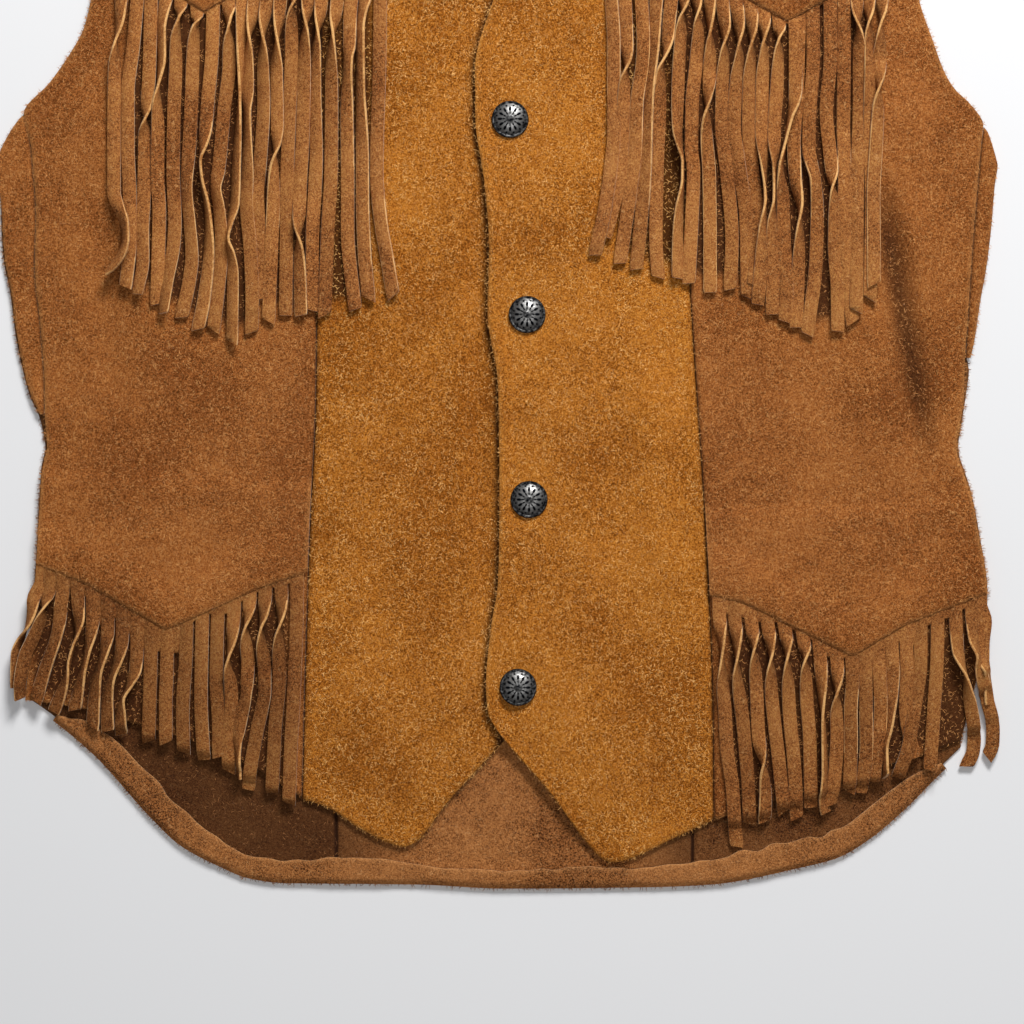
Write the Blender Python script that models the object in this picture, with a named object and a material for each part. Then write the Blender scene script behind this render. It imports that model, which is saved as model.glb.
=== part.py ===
"""Western vest of tan suede with leather fringe, laid flat on a table with its front up.

The tables and sizes below are in millimetres and become metres in the meshes. +X is to the right
as the laid vest is seen from above, +Y is towards the shoulders and +Z is up from the table. The
origin is on the table, under the middle of the back. "Left" is the side at -X.

Every cut piece is a wall of its own. It is a grid of plan points, lofted between two side edges
through a few rows, then given a height and the leather's thickness.
"""

import math

import bpy
import numpy as np
from mathutils import Vector
from mathutils.bvhtree import BVHTree

MM = 0.001

# Leather and the room left between pieces
SUEDE = 1.5
FRINGE_SUEDE = 1.4
SEAM_HALF = 0.2
LAY = 0.3
SOFT_LAY = 0.5
LAP_LAY = 0.45

# Fringe: the strips, and the uncut band that holds their roots under a panel's pointed edge
BAND_HEIGHT = 9.0
BAND_SHOWS = 5.0
STRIP_GAP = 0.8
STRIP_REACH = 1.0

# The pointed panels lie over a band with some room, then step down beyond it
BAND_ROOM = 0.35
STEP_START = 12.0
STEP_END = 26.0

# The fronts end this far above the yokes' pointed edges, and the yokes come down over their ends
FRONT_UNDER_YOKE = 12.0
YOKE_FALL = 13.0
YOKE_ROOM = 0.1

# Side edges of the back: just inside the fronts down to the underarm, then just outside them
BACK_INSET = 0.8
BACK_SHOWS = 0.9
UNDERARM_Y = 42

# The right gusset curves down round the side over this width, and the back stops short of it
WRAP = 2.4
WRAP_INSET = 4.2
WRAP_LOW, WRAP_HIGH = -60, 60

# The turned-up hem starts this far inside the outline and stays this far below the side fronts
TURN_UP_INSET = 0.4
TURN_UP_CLEAR = 1.2

# Beyond the left front's free edge, the right front stays raised for a while and then falls.
# The fall follows the free edge as it is this much lower down, because the edge leans.
LAP_FLAT = 11.0
LAP_FALL = 14.0
LAP_LEAN = 20.0

# Snap caps, from the rim in: radius and height
CAP_SIDES = 24
CAP_PROFILE = (
    # place, radius, height
    ("rim foot", 8.5, 0.0),
    ("rim edge", 8.6, 0.7),
    ("rim top", 8.0, 1.3),
    ("groove", 7.0, 1.4),
    ("dome shoulder", 5.2, 2.4),
    ("dome", 2.6, 3.1),
)
CAP_TOP = 3.4

# Armholes, sides and seams: place, height y, distance x
ARMHOLE_LEFT = (
    ("shoulder tip", 258, -188),
    ("below the shoulder", 230, -184.5),
    ("innermost", 190, -183),
    ("yoke point level", 144, -188.5),
    ("chest", 118, -193.4),
    ("curve begins", 105, -196.7),
    ("curve", 94, -202.7),
    ("curve", 80, -212.5),
    ("gusset top", 65.6, -224.6),
)
GUSSET_SIDE_LEFT = (
    ("curve ends", 51, -235.3),
    ("underarm", 41, -238.6),
    ("side", 25, -235.3),
    ("side", -2, -233.4),
    ("side", -18, -230.2),
    ("side", -37, -227.8),
    ("waist", -55, -224.1),
    ("waist", -66.5, -220.9),
    ("gusset foot", -75, -216.9),
)
GUSSET_SEAM_LEFT = (
    ("chest", 49, -221.3),
    ("chest", 15, -219),
    ("ribs", -6, -219.6),
    ("waist", -34, -216.9),
    ("waist", -66.5, -214.9),
    ("gusset foot", -75, -214.9),
)
HIP_LEFT = (
    ("waist", -90, -213.8),
    ("pocket top", -98, -215.6),
    ("pocket", -147, -218.6),
    ("fringe", -180, -221.5),
    ("hem corner", -207.5, -224.1),
)
ARMHOLE_RIGHT = (
    ("shoulder tip", 258, 188),
    ("below the shoulder", 230, 184.5),
    ("innermost", 190, 183),
    ("yoke point level", 144, 187.3),
    ("chest", 118, 192.5),
    ("curve begins", 100, 198.6),
    ("curve", 84, 204.6),
    ("curve", 76, 209.8),
    ("curve", 71, 215.3),
    ("gusset top", 60, 222.3),
)
GUSSET_SIDE_RIGHT = (
    ("curve ends", 53, 226),
    ("underarm", 42, 229.2),
    ("side", 32.6, 227.9),
    ("side", 10.7, 226),
    ("side", -7.4, 223.7),
    ("side", -20.5, 221.3),
    ("waist", -40, 218.2),
    ("gusset foot", -48.8, 216.2),
)
GUSSET_SEAM_RIGHT = (
    ("chest", 46, 220.9),
    ("chest", 23.7, 219),
    ("ribs", 1.9, 217.2),
    ("ribs", -20.5, 215.8),
    ("waist", -40, 214.4),
    ("gusset foot", -48.8, 213.9),
)
HIP_RIGHT = (
    ("waist", -67.9, 213.2),
    ("waist", -78.6, 211.6),
    ("waist", -90.2, 209.9),
    ("pocket top", -102.3, 213.4),
    ("pocket", -111.6, 216.2),
    ("pocket", -130.7, 219.9),
    ("pocket point level", -156.7, 223.6),
    ("fringe", -180, 222.7),
    ("fringe", -205, 217.5),
    ("hem corner", -226.5, 212),
)
FREE_EDGE_RIGHT = (
    ("neck point", 295, 75),
    ("neckline", 240, 46),
    ("neckline", 180, 19),
    ("neckline", 118, -5.6),
    ("neckline begins", 85, -14.4),
    ("top snap", 62, -14.2),
    ("front edge", 34, -10.2),
    ("front edge", 2, -7.9),
    ("second snap", -28, -8.6),
    ("front edge", -60, -3.8),
    ("third snap", -114, -3.0),
    ("front edge", -152, -3.7),
    ("front edge", -174, -7.0),
    ("fourth snap", -201, -9.3),
    ("front edge", -213.4, -8.4),
    ("hem corner", -222.7, -3.3),
)
SNAPS = (
    # place, height y, distance x
    ("top", 62.1, 1.9),
    ("second", -28.4, 9.8),
    ("third", -114.2, 10.7),
    ("fourth", -201.3, 5.6),
)
PRINCESS_LEFT = (
    ("yoke", 170, -86),
    ("ribs", -27, -87.9),
    ("waist", -67, -88.3),
    ("hip", -128, -91.1),
    ("hem", -253, -94.9),
)
PRINCESS_RIGHT = (
    ("yoke", 170, 79.5),
    ("ribs", -15, 85.6),
    ("waist", -67, 88.8),
    ("hip", -121, 92.3),
    ("hip", -204, 96),
    ("hem", -263, 96.8),
)
BACK_SEAM_LEFT = (
    ("shoulder", 282, -120),
    ("ribs", 60, -92),
    ("waist", -100, -80),
    ("hem", -292, -79),
)
BACK_SEAM_RIGHT = (
    ("shoulder", 282, 120),
    ("ribs", 60, 96),
    ("waist", -100, 87),
    ("hem", -294, 87),
)

# Hems and pointed edges: place, distance x, height y
BACK_HEM = (
    ("left corner", -224.4, -207.9),
    ("left", -215.3, -213.9),
    ("left curve", -192, -233),
    ("left curve", -164.6, -263.2),
    ("left curve", -151.6, -275.3),
    ("left curve", -134.4, -284.6),
    ("left", -119.5, -290.6),
    ("left", -104.2, -292.7),
    ("middle", -41.4, -293.4),
    ("middle", 0, -295.3),
    ("middle", 68, -294.6),
    ("right", 95.3, -293.4),
    ("right curve", 139.5, -285),
    ("right curve", 154.4, -281),
    ("right curve", 169.7, -272),
    ("right curve", 185.1, -259),
    ("right curve", 200, -244.1),
    ("right corner", 213, -231.5),
)
FRONT_HEM_LEFT = (
    ("side seam", -95, -253.4),
    ("curve", -82.3, -258.5),
    ("curve", -68.4, -268.3),
    ("curve", -54.9, -275.7),
    ("point", -47.4, -278.1),
    ("point", -43.2, -276.9),
    ("slant", -27.4, -258.5),
    ("slant", 0.9, -229.2),
    ("front edge", 26, -205),
)
FRONT_HEM_RIGHT = (
    ("front edge", -3.4, -222.7),
    ("slant", 1.4, -228.8),
    ("slant", 20, -250.2),
    ("slant", 41.9, -279),
    ("point", 46, -282.3),
    ("point", 50.7, -283.2),
    ("curve", 58.1, -281.3),
    ("curve", 74.9, -273.4),
    ("side seam", 97, -263.2),
)
SIDE_HEM_LEFT = (
    ("side seam", -224.2, -207.5),
    ("side", -198.1, -211.1),
    ("middle", -165.5, -220.4),
    ("middle", -133, -230.6),
    ("front seam", -94.5, -252.6),
)
SIDE_HEM_RIGHT = (
    ("front seam", 96.7, -263.2),
    ("middle", 150, -246),
    ("side", 202.7, -230.2),
    ("side seam", 212.2, -226.5),
)
POCKET_POINT_LEFT = (
    ("side", -218.6, -144.2),
    ("side leg", -194.8, -153.5),
    ("tip", -157.6, -174.8),
    ("inner leg", -114.4, -155.3),
    ("front seam", -91.6, -147.7),
)
POCKET_POINT_RIGHT = (
    ("front seam", 93.9, -158.6),
    ("inner leg", 109.3, -161.8),
    ("tip", 160.9, -186.9),
    ("side leg", 185.1, -172.5),
    ("side", 223.6, -158),
)
POCKET_TOP_LEFT = (("side", -215.6, -97.7), ("front seam", -89, -104.2))
POCKET_TOP_RIGHT = (("front seam", 92, -116), ("hip", 182, -114.9), ("side", 214.5, -109))
YOKE_POINT_LEFT = (
    ("armhole", -188.5, 143.8),
    ("tip", -140, 112),
    ("inner leg", -53, 162.5),
    ("neckline", -21, 180.5),
)
YOKE_POINT_RIGHT = (
    ("neckline", 16, 173),
    ("inner leg", 46.5, 155.8),
    ("tip", 130.7, 107.4),
    ("armhole", 187.5, 140.5),
)
NECK_HALF_WIDTH = 75
NECK_Y = 295
SHOULDER_HALF_WIDTH = 188
SHOULDER_TIP_Y = 258
NECK_SCOOP = 23

# Turned-up hem of the back: place, distance x, width of the turn-up
TURN_UP_WIDTH = (
    ("left end", -211, 3.5),
    ("left", -196, 11),
    ("left curve", -165, 13),
    ("left", -104, 10.5),
    ("middle", -62, 12.4),
    ("middle", -27, 8.6),
    ("middle", 50, 9.0),
    ("middle", 71, 9.2),
    ("right", 109, 13.6),
    ("right curve", 160, 13.2),
    ("right", 190, 11),
    ("right end", 205, 3.5),
)

# The fronts lie slightly puffed over the back, with these folds. A trough has a negative height.
PUFF = 3.2
HEM_PUFF = 0.25
SIDE_EASE = 42.0
SHOULDER_EASE = 55.0
HEM_EASE = 60.0
FOLDS = (
    # place, x and y of the upper end, x and y of the lower end, half width, height
    ("right side trough", 170, 55, 199, -118, 10, -2.9),
    ("right side inner ridge", 152, 60, 178, -112, 15, 2.8),
    ("right side outer ridge", 190, 40, 212, -96, 9, 2.4),
    ("left side hollow", -193, 45, -186, -80, 12, -1.9),
    ("left side ridge", -168, 40, -160, -85, 14, 1.6),
    ("left front hollow", -22, 40, -18, -175, 11, -1.2),
    ("right front wave", 66, -40, 76, -200, 12, 1.4),
)

# Fringes: place, distance x and height y of the strip ends, in order from left to right
CHEST_FRINGE_LEFT = {
    "strips": 20,
    "bends": 7,
    "roots": (-190.0, -54.6),
    "bend": -4.0,
    "tips": (
        ("outer", -186, -9),
        ("outer", -172, -17),
        ("outer", -158, -29),
        ("long", -144, -38),
        ("long", -127, -41),
        ("long", -109, -32),
        ("inner", -90, -27),
        ("inner", -71, -27),
        ("inner", -51.5, -21),
    ),
}
CHEST_FRINGE_RIGHT = {
    "strips": 19,
    "bends": 7,
    "roots": (47.5, 176.0),
    "bend": 3.0,
    "tips": (
        ("inner", 40.5, 0),
        ("inner", 55, -7),
        ("inner", 73.5, -13),
        ("long", 101, -21),
        ("long", 116, -24),
        ("long", 134, -40),
        ("long", 150, -38),
        ("outer", 164, -28),
        ("outer", 173.5, -14),
    ),
}
POCKET_FRINGE_LEFT = {
    "strips": 18,
    "bends": 5,
    "roots": (-217.0, -94.6),
    "bend": 1.5,
    "tips": (
        ("outer", -228, -201),
        ("outer", -214, -212),
        ("side", -198, -213),
        ("side", -182, -221),
        ("middle", -154, -228),
        ("middle", -137, -236),
        ("inner", -120, -247),
        ("inner", -106, -252),
        ("inner", -97.5, -255),
    ),
}
POCKET_FRINGE_RIGHT = {
    "strips": 18,
    "bends": 5,
    "roots": (97.6, 221.6),
    "bend": 3.0,
    "tips": (
        ("inner", 106, -276),
        ("inner", 114.4, -266),
        ("middle", 133.5, -261),
        ("middle", 145, -257),
        ("side", 162, -250),
        ("side", 176, -245),
        ("side", 197, -242),
        ("outer", 214, -238),
        ("outer", 229, -227),
    ),
}

# Leather and metal colours
CENTRE_SUEDE = "#9F6126"
SIDE_SUEDE = "#93592A"
BACK_SUEDE = "#7A4A26"
FRINGE_COLOUR = "#8E592C"
SNAP_METAL = "#5A5552"


def ease(value):
    """Smooth step from 0 to 1."""
    t = min(max(value, 0.0), 1.0)
    return t * t * (3 - 2 * t)


def smooth(rows):
    """Smooth function through a table's rows of place, along and across; it never overshoots."""
    points = sorted((float(along), float(across)) for _, along, across in rows)
    along = [point[0] for point in points]
    across = [point[1] for point in points]
    steps = [b - a for a, b in zip(along, along[1:])]
    slopes = [(b - a) / step for a, b, step in zip(across, across[1:], steps)]
    tangents = [slopes[0]]
    for before, after in zip(slopes, slopes[1:]):
        both = before * after
        tangents.append(2 * both / (before + after) if both > 0 else 0.0)
    tangents.append(slopes[-1])

    def at(value):
        value = min(max(value, along[0]), along[-1])
        i = min(int(np.searchsorted(along, value, side="right")) - 1, len(steps) - 1)
        t = (value - along[i]) / steps[i]
        start = (1 + 2 * t) * (1 - t) ** 2 * across[i] + t * (1 - t) ** 2 * steps[i] * tangents[i]
        end = t * t * (3 - 2 * t) * across[i + 1] - t * t * (1 - t) * steps[i] * tangents[i + 1]
        return start + end

    return at


def straight(rows):
    """Function through a table's rows of place, along and across, with straight runs."""
    along = [float(row[1]) for row in rows]
    across = [float(row[2]) for row in rows]
    return lambda value: float(np.interp(value, along, across))


front_side_left = smooth(ARMHOLE_LEFT + GUSSET_SEAM_LEFT + HIP_LEFT)
front_side_right = smooth(ARMHOLE_RIGHT + GUSSET_SEAM_RIGHT + HIP_RIGHT)
outline_left = smooth(ARMHOLE_LEFT + GUSSET_SIDE_LEFT + HIP_LEFT)
outline_right = smooth(ARMHOLE_RIGHT + GUSSET_SIDE_RIGHT + HIP_RIGHT)
gusset_seam_left = smooth(ARMHOLE_LEFT[-1:] + GUSSET_SEAM_LEFT)
gusset_seam_right = smooth(ARMHOLE_RIGHT[-1:] + GUSSET_SEAM_RIGHT)
free_edge_right = smooth(FREE_EDGE_RIGHT)
snap_line = smooth(SNAPS)
princess_left = smooth(PRINCESS_LEFT)
princess_right = smooth(PRINCESS_RIGHT)
back_seam_left = smooth(BACK_SEAM_LEFT)
back_seam_right = smooth(BACK_SEAM_RIGHT)
back_hem = smooth(BACK_HEM)
front_hem_left = smooth(FRONT_HEM_LEFT)
front_hem_right = smooth(FRONT_HEM_RIGHT)
side_hem_left = smooth(SIDE_HEM_LEFT)
side_hem_right = smooth(SIDE_HEM_RIGHT)
turn_up_width = smooth(TURN_UP_WIDTH)
pocket_point_left = straight(POCKET_POINT_LEFT)
pocket_point_right = straight(POCKET_POINT_RIGHT)
pocket_top_left = straight(POCKET_TOP_LEFT)
pocket_top_right = straight(POCKET_TOP_RIGHT)
yoke_point_left = straight(YOKE_POINT_LEFT)
yoke_point_right = straight(YOKE_POINT_RIGHT)


def free_edge_left(y):
    """Free edge of the left front: the right front's, turned over about the line of the snaps."""
    return 2 * snap_line(y) - free_edge_right(y)


def shoulder(x):
    """Height of the shoulder seam, and of the back's neck scoop between the neck points."""
    across = abs(x)
    if across < NECK_HALF_WIDTH:
        return NECK_Y - NECK_SCOOP * (1 - (across / NECK_HALF_WIDTH) ** 2.2)
    share = (across - NECK_HALF_WIDTH) / (SHOULDER_HALF_WIDTH - NECK_HALF_WIDTH)
    return NECK_Y + (SHOULDER_TIP_Y - NECK_Y) * share


def front_hem(x):
    """Height of the fronts' lower edge at a distance x, the right front's where they lap."""
    if x < princess_left(-250):
        return side_hem_left(x)
    if x < -3:
        return front_hem_left(x)
    if x < princess_right(-260):
        return front_hem_right(x)
    return side_hem_right(x)


def fold_height(x, y):
    """What the folds add to the height of the fronts."""
    height = 0.0
    for _, x_top, y_top, x_low, y_low, half_width, rise in FOLDS:
        run = Vector((x_low - x_top, y_low - y_top))
        offset = Vector((x - x_top, y - y_top))
        share = offset.dot(run) / run.length_squared
        aside = (offset - run * share).length
        ends = ease(share / 0.3) * ease((1 - share) / 0.35)
        height += rise * ends * math.exp(-((aside / half_width) ** 2))
    return height


def front_lower(x, y):
    """Height of the fronts' underside: on the back at the seams and puffed between them."""
    side = min(x - front_side_left(y), front_side_right(y) - x)
    seams = ease(side / SIDE_EASE) * ease((shoulder(max(abs(x), NECK_HALF_WIDTH)) - y) / SHOULDER_EASE)
    hem = HEM_PUFF + (1 - HEM_PUFF) * ease((y - front_hem(x)) / HEM_EASE)
    return SUEDE + LAY + max(0.0, (PUFF + fold_height(x, y)) * seams * hem)


def lap_lower(x, y):
    """Height of the right front's underside, which rises over the left front where they lap."""
    beyond = (x - free_edge_left(y - LAP_LEAN) - LAP_FLAT) / LAP_FALL
    return front_lower(x, y) + (SUEDE + LAP_LAY) * (1 - ease(beyond))


def grid(left, right, rows, columns):
    """Plan points lofted through key rows.

    left and right give x at a height y. A row is its height at the left edge, its height at the
    right edge, its shape as a function of x or None for straight, and the cells above it.
    columns are the shares across, from 0 to 1.
    """
    shares = np.array(columns)

    def ends(y_left, y_right):
        return np.array((left(y_left), y_left)), np.array((right(y_right), y_right))

    def chord(start, end):
        return start + np.outer(shares, end - start)

    def bow(y_left, y_right, shape):
        """How far a key row's points lie above its chord."""
        start, end = ends(y_left, y_right)
        line = chord(start, end)
        if shape is None:
            return np.zeros(len(shares))
        heights = np.array([shape(x) for x in line[:, 0]])
        fit = (start[1] - heights[0]) * (1 - shares) + (end[1] - heights[-1]) * shares
        return heights + fit - line[:, 1]

    points = []
    for row, above in zip(rows, rows[1:] + [None]):
        count = row[3] if above else 1
        for k in range(count):
            t = k / count
            upper = above or row
            start, end = ends(row[0] + (upper[0] - row[0]) * t, row[1] + (upper[1] - row[1]) * t)
            line = chord(start, end)
            line[:, 1] += bow(*row[:3]) * (1 - t) + bow(*upper[:3]) * t
            points.append(line)
    return np.array(points)


def raised(plan, lower):
    """The plan points with their heights."""
    heights = np.array([[lower(x, y) for x, y in row] for row in plan])
    return np.dstack((plan, heights))


def cells(rows, columns):
    """Four-sided faces of a grid, looking up."""
    faces = []
    for r in range(rows - 1):
        for c in range(columns - 1):
            corner = r * columns + c
            faces.append((corner, corner + 1, corner + columns + 1, corner + columns))
    return faces


def linear(hex_colour):
    """Linear colour of an sRGB hex value."""
    values = [int(hex_colour[i : i + 2], 16) / 255 for i in (1, 3, 5)]
    return [v / 12.92 if v <= 0.04045 else ((v + 0.055) / 1.055) ** 2.4 for v in values] + [1.0]


def finish_of(name, hex_colour, roughness, metallic):
    """Plain material of one colour."""
    material = bpy.data.materials.new(name)
    material.use_nodes = True
    shader = material.node_tree.nodes["Principled BSDF"]
    shader.inputs["Base Color"].default_value = linear(hex_colour)
    shader.inputs["Roughness"].default_value = roughness
    shader.inputs["Metallic"].default_value = metallic
    return material


def add_object(name, vertices, faces, hex_colour, roughness=0.95, metallic=0.0):
    """Make an object from vertices in millimetres."""
    mesh = bpy.data.meshes.new(name)
    mesh.from_pydata([Vector(v) * MM for v in vertices], [], faces)
    mesh.update()
    mesh.materials.append(finish_of(name, hex_colour, roughness, metallic))
    piece = bpy.data.objects.new(name, mesh)
    bpy.context.scene.collection.objects.link(piece)
    return piece


class Stack:
    """The pieces laid so far, so that the next one can rest on what is under it."""

    def __init__(self):
        """Start with the bare table."""
        self.surfaces = []

    def add_wall(self, name, points, faces, thickness, hex_colour):
        """Make a wall from its lower points and its faces, which look up."""
        points = [tuple(float(value) for value in point) for point in points]
        count = len(points)
        upper = [(x, y, z + thickness) for x, y, z in points]
        triangles = [t for a, b, c, d in faces for t in ((a, b, c), (a, c, d))]
        used = {}
        for triangle in triangles:
            for a, b in zip(triangle, triangle[1:] + triangle[:1]):
                used[(a, b)] = True
        walls = []
        for a, b in used:
            if (b, a) not in used:
                walls += [(a, b, b + count), (a, b + count, a + count)]
        top = [(a + count, b + count, c + count) for a, b, c in triangles]
        under = [(c, b, a) for a, b, c in triangles]
        self.surfaces.append(BVHTree.FromPolygons(upper, triangles))
        return add_object(name, points + upper, under + top + walls, hex_colour)

    def add_panel(self, name, points, hex_colour):
        """Make a panel's wall from its grid of lower points."""
        rows, columns = points.shape[:2]
        flat = points.reshape(-1, 3)
        return self.add_wall(name, flat, cells(rows, columns), SUEDE, hex_colour)

    def top(self, x, y):
        """Height of the highest surface at a place, 0 on the table."""
        highest = 0.0
        for surface in self.surfaces:
            hit = surface.ray_cast(Vector((x, y, 100)), Vector((0, 0, -1)))[0]
            if hit:
                highest = max(highest, hit.z)
        return highest

    def rest(self, x, y, reach_x, reach_y, clear):
        """Lowest height that clears all that lies within reach of a place."""
        places = [(x + i * reach_x, y + j * reach_y / 2) for i in (-1, 0, 1) for j in range(-2, 3)]
        return max(self.top(*place) for place in places) + clear


def even(count):
    """Shares from 0 to 1 for a count of equal cells."""
    return [i / count for i in range(count + 1)]


def back_edge(outline, y, outward):
    """Side edge of the back, which shows a little beyond the fronts at the side seams."""
    if y > UNDERARM_Y:
        return outline(y) - outward * BACK_INSET
    return outline(y) + outward * BACK_SHOWS * ease((30 - y) / 20) * ease((y + 200) / 30)


def back_edge_right(y):
    """The right gusset wraps the edge down to the table, so the back stops short of it there."""
    width = outline_right(y) - gusset_seam_right(y) if WRAP_LOW < y < WRAP_HIGH else 0.0
    return back_edge(outline_right, y, 1) - WRAP_INSET * ease((width - 1) / 2.5)


def make_back(stack):
    """Middle and sides of the back, flat on the table."""

    def flat(x, y):
        return 0.0

    shares = (0, 0.09, 0.1875, 0.29, 0.395, 0.5, 0.605, 0.71, 0.8125, 0.91, 1)
    rows = [(-292.3, -293.6, back_hem, 8), (30, 30, None, 6), (279.9, 279.9, shoulder, 0)]
    seams = (
        lambda y: back_seam_left(y) + SEAM_HALF,
        lambda y: back_seam_right(y) - SEAM_HALF,
    )
    stack.add_panel("back_centre", raised(grid(*seams, rows, shares), flat), BACK_SUEDE)

    rows = [(-207.9, -292.4, back_hem, 6), (-98, -100, None, 6), (40, 60, None, 4), (94, 110, None, 6)]
    rows.append((258.2, 280, shoulder, 0))
    edges = (lambda y: back_edge(outline_left, y, -1), lambda y: back_seam_left(y) - SEAM_HALF)
    plan = grid(*edges, rows, even(7))
    stack.add_panel("back_side_left", raised(plan, flat), BACK_SUEDE)

    rows = [(-293.7, -231.5, back_hem, 6), (-100, -102, None, 6), (60, 42, None, 4), (110, 90, None, 6)]
    rows.append((280, 258.2, shoulder, 0))
    edges = (lambda y: back_seam_right(y) + SEAM_HALF, back_edge_right)
    plan = grid(*edges, rows, even(7))
    stack.add_panel("back_side_right", raised(plan, flat), BACK_SUEDE)


def make_turn_up(stack):
    """The back's lower edge, turned up over its inside."""
    count = 44
    first, last = TURN_UP_WIDTH[0][1], TURN_UP_WIDTH[-1][1]
    outer, inner = [], []
    for i in range(count + 1):
        x = first + (last - first) * i / count
        run = Vector((2.0, back_hem(x + 1) - back_hem(x - 1))).normalized()
        inward = Vector((-run.y, run.x))
        edge = Vector((x, back_hem(x))) + inward * TURN_UP_INSET
        inside = edge + inward * turn_up_width(x)
        if not princess_left(inside.y) < inside.x < princess_right(inside.y):
            inside.y = min(inside.y, front_hem(inside.x) - TURN_UP_CLEAR)
        outer.append(edge)
        inner.append(inside)
    middle = [(a + b) / 2 for a, b in zip(outer, inner)]
    plan = np.array([[tuple(point) for point in row] for row in (outer, middle, inner)])
    stack.add_panel("hem_turn_up", raised(plan, lambda x, y: SUEDE + LAY), BACK_SUEDE)


def make_gussets(stack):
    """Narrow wedges under the arms, between the fronts and the back."""
    rows = [(-74.5, -74.5, None, 9), (41, 65, lambda x: -0.06 * (x + 224) ** 2, 0)]
    edges = (outline_left, lambda y: gusset_seam_left(y) - SEAM_HALF)
    plan = grid(*edges, rows, (0, 0.5, 1))
    stack.add_panel("side_gusset_left", raised(plan, lambda x, y: SUEDE + LAY), SIDE_SUEDE)

    def wrapped(x, y):
        """The right one curves down round the edge of the back."""
        width = outline_right(y) - gusset_seam_right(y)
        near = 1 - ease((outline_right(y) - x) / WRAP)
        return SUEDE + LAY - SUEDE * near * ease((width - 2.5) / 3)

    rows = [(-48.2, -48.2, None, 9), (59.4, 42, lambda x: -0.25 * (x - 222) ** 2, 0)]
    edges = (lambda y: gusset_seam_right(y) + SEAM_HALF, outline_right)
    plan = grid(*edges, rows, (0, 0.35, 0.7, 1))
    stack.add_panel("side_gusset_right", raised(plan, wrapped), SIDE_SUEDE)


def above_point(point, distance):
    """A pointed edge moved up, as the inner rows of the panels under and over it follow it."""
    return lambda x: point(x) + distance


def stepped(point, x, y):
    """How far a pointed panel lies above the panel under it: over the fringe's band, then down."""
    over_band = LAY + FRINGE_SUEDE + SOFT_LAY + BAND_ROOM
    down = ease((y - point(x) - STEP_START) / (STEP_END - STEP_START))
    return over_band * (1 - down)


def make_side_fronts(stack):
    """Side fronts, and the pointed pocket on each, made from the side front's own points."""
    band_top = BAND_HEIGHT + 2
    leg = STEP_END
    pocket_cells = (1, 1, 3)
    left_rows = [
        (-207.5, -252.6, side_hem_left, 4),
        (-144.2, -147.7, pocket_point_left, pocket_cells[0]),
        (-144.2 + band_top, -147.7 + band_top, above_point(pocket_point_left, band_top), pocket_cells[1]),
        (-144.2 + leg, -147.7 + leg, above_point(pocket_point_left, leg), pocket_cells[2]),
        (-97.7, -104.2, pocket_top_left, 9),
        (65.2, 45, None, 5),
        (156, 156, above_point(yoke_point_left, FRONT_UNDER_YOKE), 0),
    ]
    left_edges = (front_side_left, lambda y: princess_left(y) - SEAM_HALF)
    left_shares = (0, 0.07, 0.14, 0.23, 0.35, 0.475, 0.6, 0.73, 0.87, 1)
    right_rows = [
        (-263.2, -226.5, side_hem_right, 4),
        (-158.6, -158, pocket_point_right, pocket_cells[0]),
        (-158.6 + band_top, -158 + band_top, above_point(pocket_point_right, band_top), pocket_cells[1]),
        (-158.6 + leg, -158 + leg, above_point(pocket_point_right, leg), pocket_cells[2]),
        (-116, -109, pocket_top_right, 9),
        (45, 60, None, 5),
        (148.8, 152.5, above_point(yoke_point_right, FRONT_UNDER_YOKE), 0),
    ]
    right_edges = (lambda y: princess_right(y) + SEAM_HALF, front_side_right)
    right_shares = (0, 0.13, 0.27, 0.39, 0.51, 0.6, 0.69, 0.77, 0.85, 0.93, 1)
    sides = (
        ("left", left_edges, left_rows, left_shares, pocket_point_left),
        ("right", right_edges, right_rows, right_shares, pocket_point_right),
    )
    pockets = []
    for side, edges, rows, shares, point in sides:
        seam = 1 if side == "left" else -1
        inset = (
            lambda y, edge=edges[0], s=seam: edge(y) + (SEAM_HALF if s > 0 and y < 65 else 0),
            lambda y, edge=edges[1], s=seam: edge(y) - (SEAM_HALF if s < 0 and y < 60 else 0),
        )
        panel = raised(grid(*inset, rows, shares), front_lower)
        stack.add_panel(f"side_front_{side}", panel, SIDE_SUEDE)
        first = rows[0][3]
        pocket = panel[first : first + sum(pocket_cells) + 1].copy()
        for line in pocket:
            for place in line:
                place[2] += SUEDE + LAY + stepped(point, place[0], place[1])
        pockets.append((f"pocket_{side}", pocket))
    return pockets


def make_fronts(stack):
    """Centre fronts: the left one first, then the right one lapped over it."""
    left_rows = [
        (-253.4, -205, front_hem_left, 5),
        (-150, -150, None, 4),
        (-28, -28, None, 3),
        (62, 62, None, 4),
        (156.2, 192.5, above_point(yoke_point_left, FRONT_UNDER_YOKE), 0),
    ]
    edges = (lambda y: princess_left(y) + SEAM_HALF, free_edge_left)
    shares = (0, 0.14, 0.28, 0.41, 0.47, 0.6, 0.8, 1)
    plan = grid(*edges, left_rows, shares)
    stack.add_panel("front_left", raised(plan, front_lower), CENTRE_SUEDE)

    right_rows = [
        (-222.7, -263.2, front_hem_right, 5),
        (-150, -150, None, 4),
        (-28, -28, None, 3),
        (62, 62, None, 4),
        (185, 148.8, above_point(yoke_point_right, FRONT_UNDER_YOKE), 0),
    ]
    edges = (free_edge_right, lambda y: princess_right(y) - SEAM_HALF)
    shares = (0, 0.14, 0.3, 0.38, 0.48, 0.535, 0.6, 0.76, 0.88, 1)
    plan = grid(*edges, right_rows, shares)
    stack.add_panel("front_right", raised(plan, lap_lower), CENTRE_SUEDE)


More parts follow.
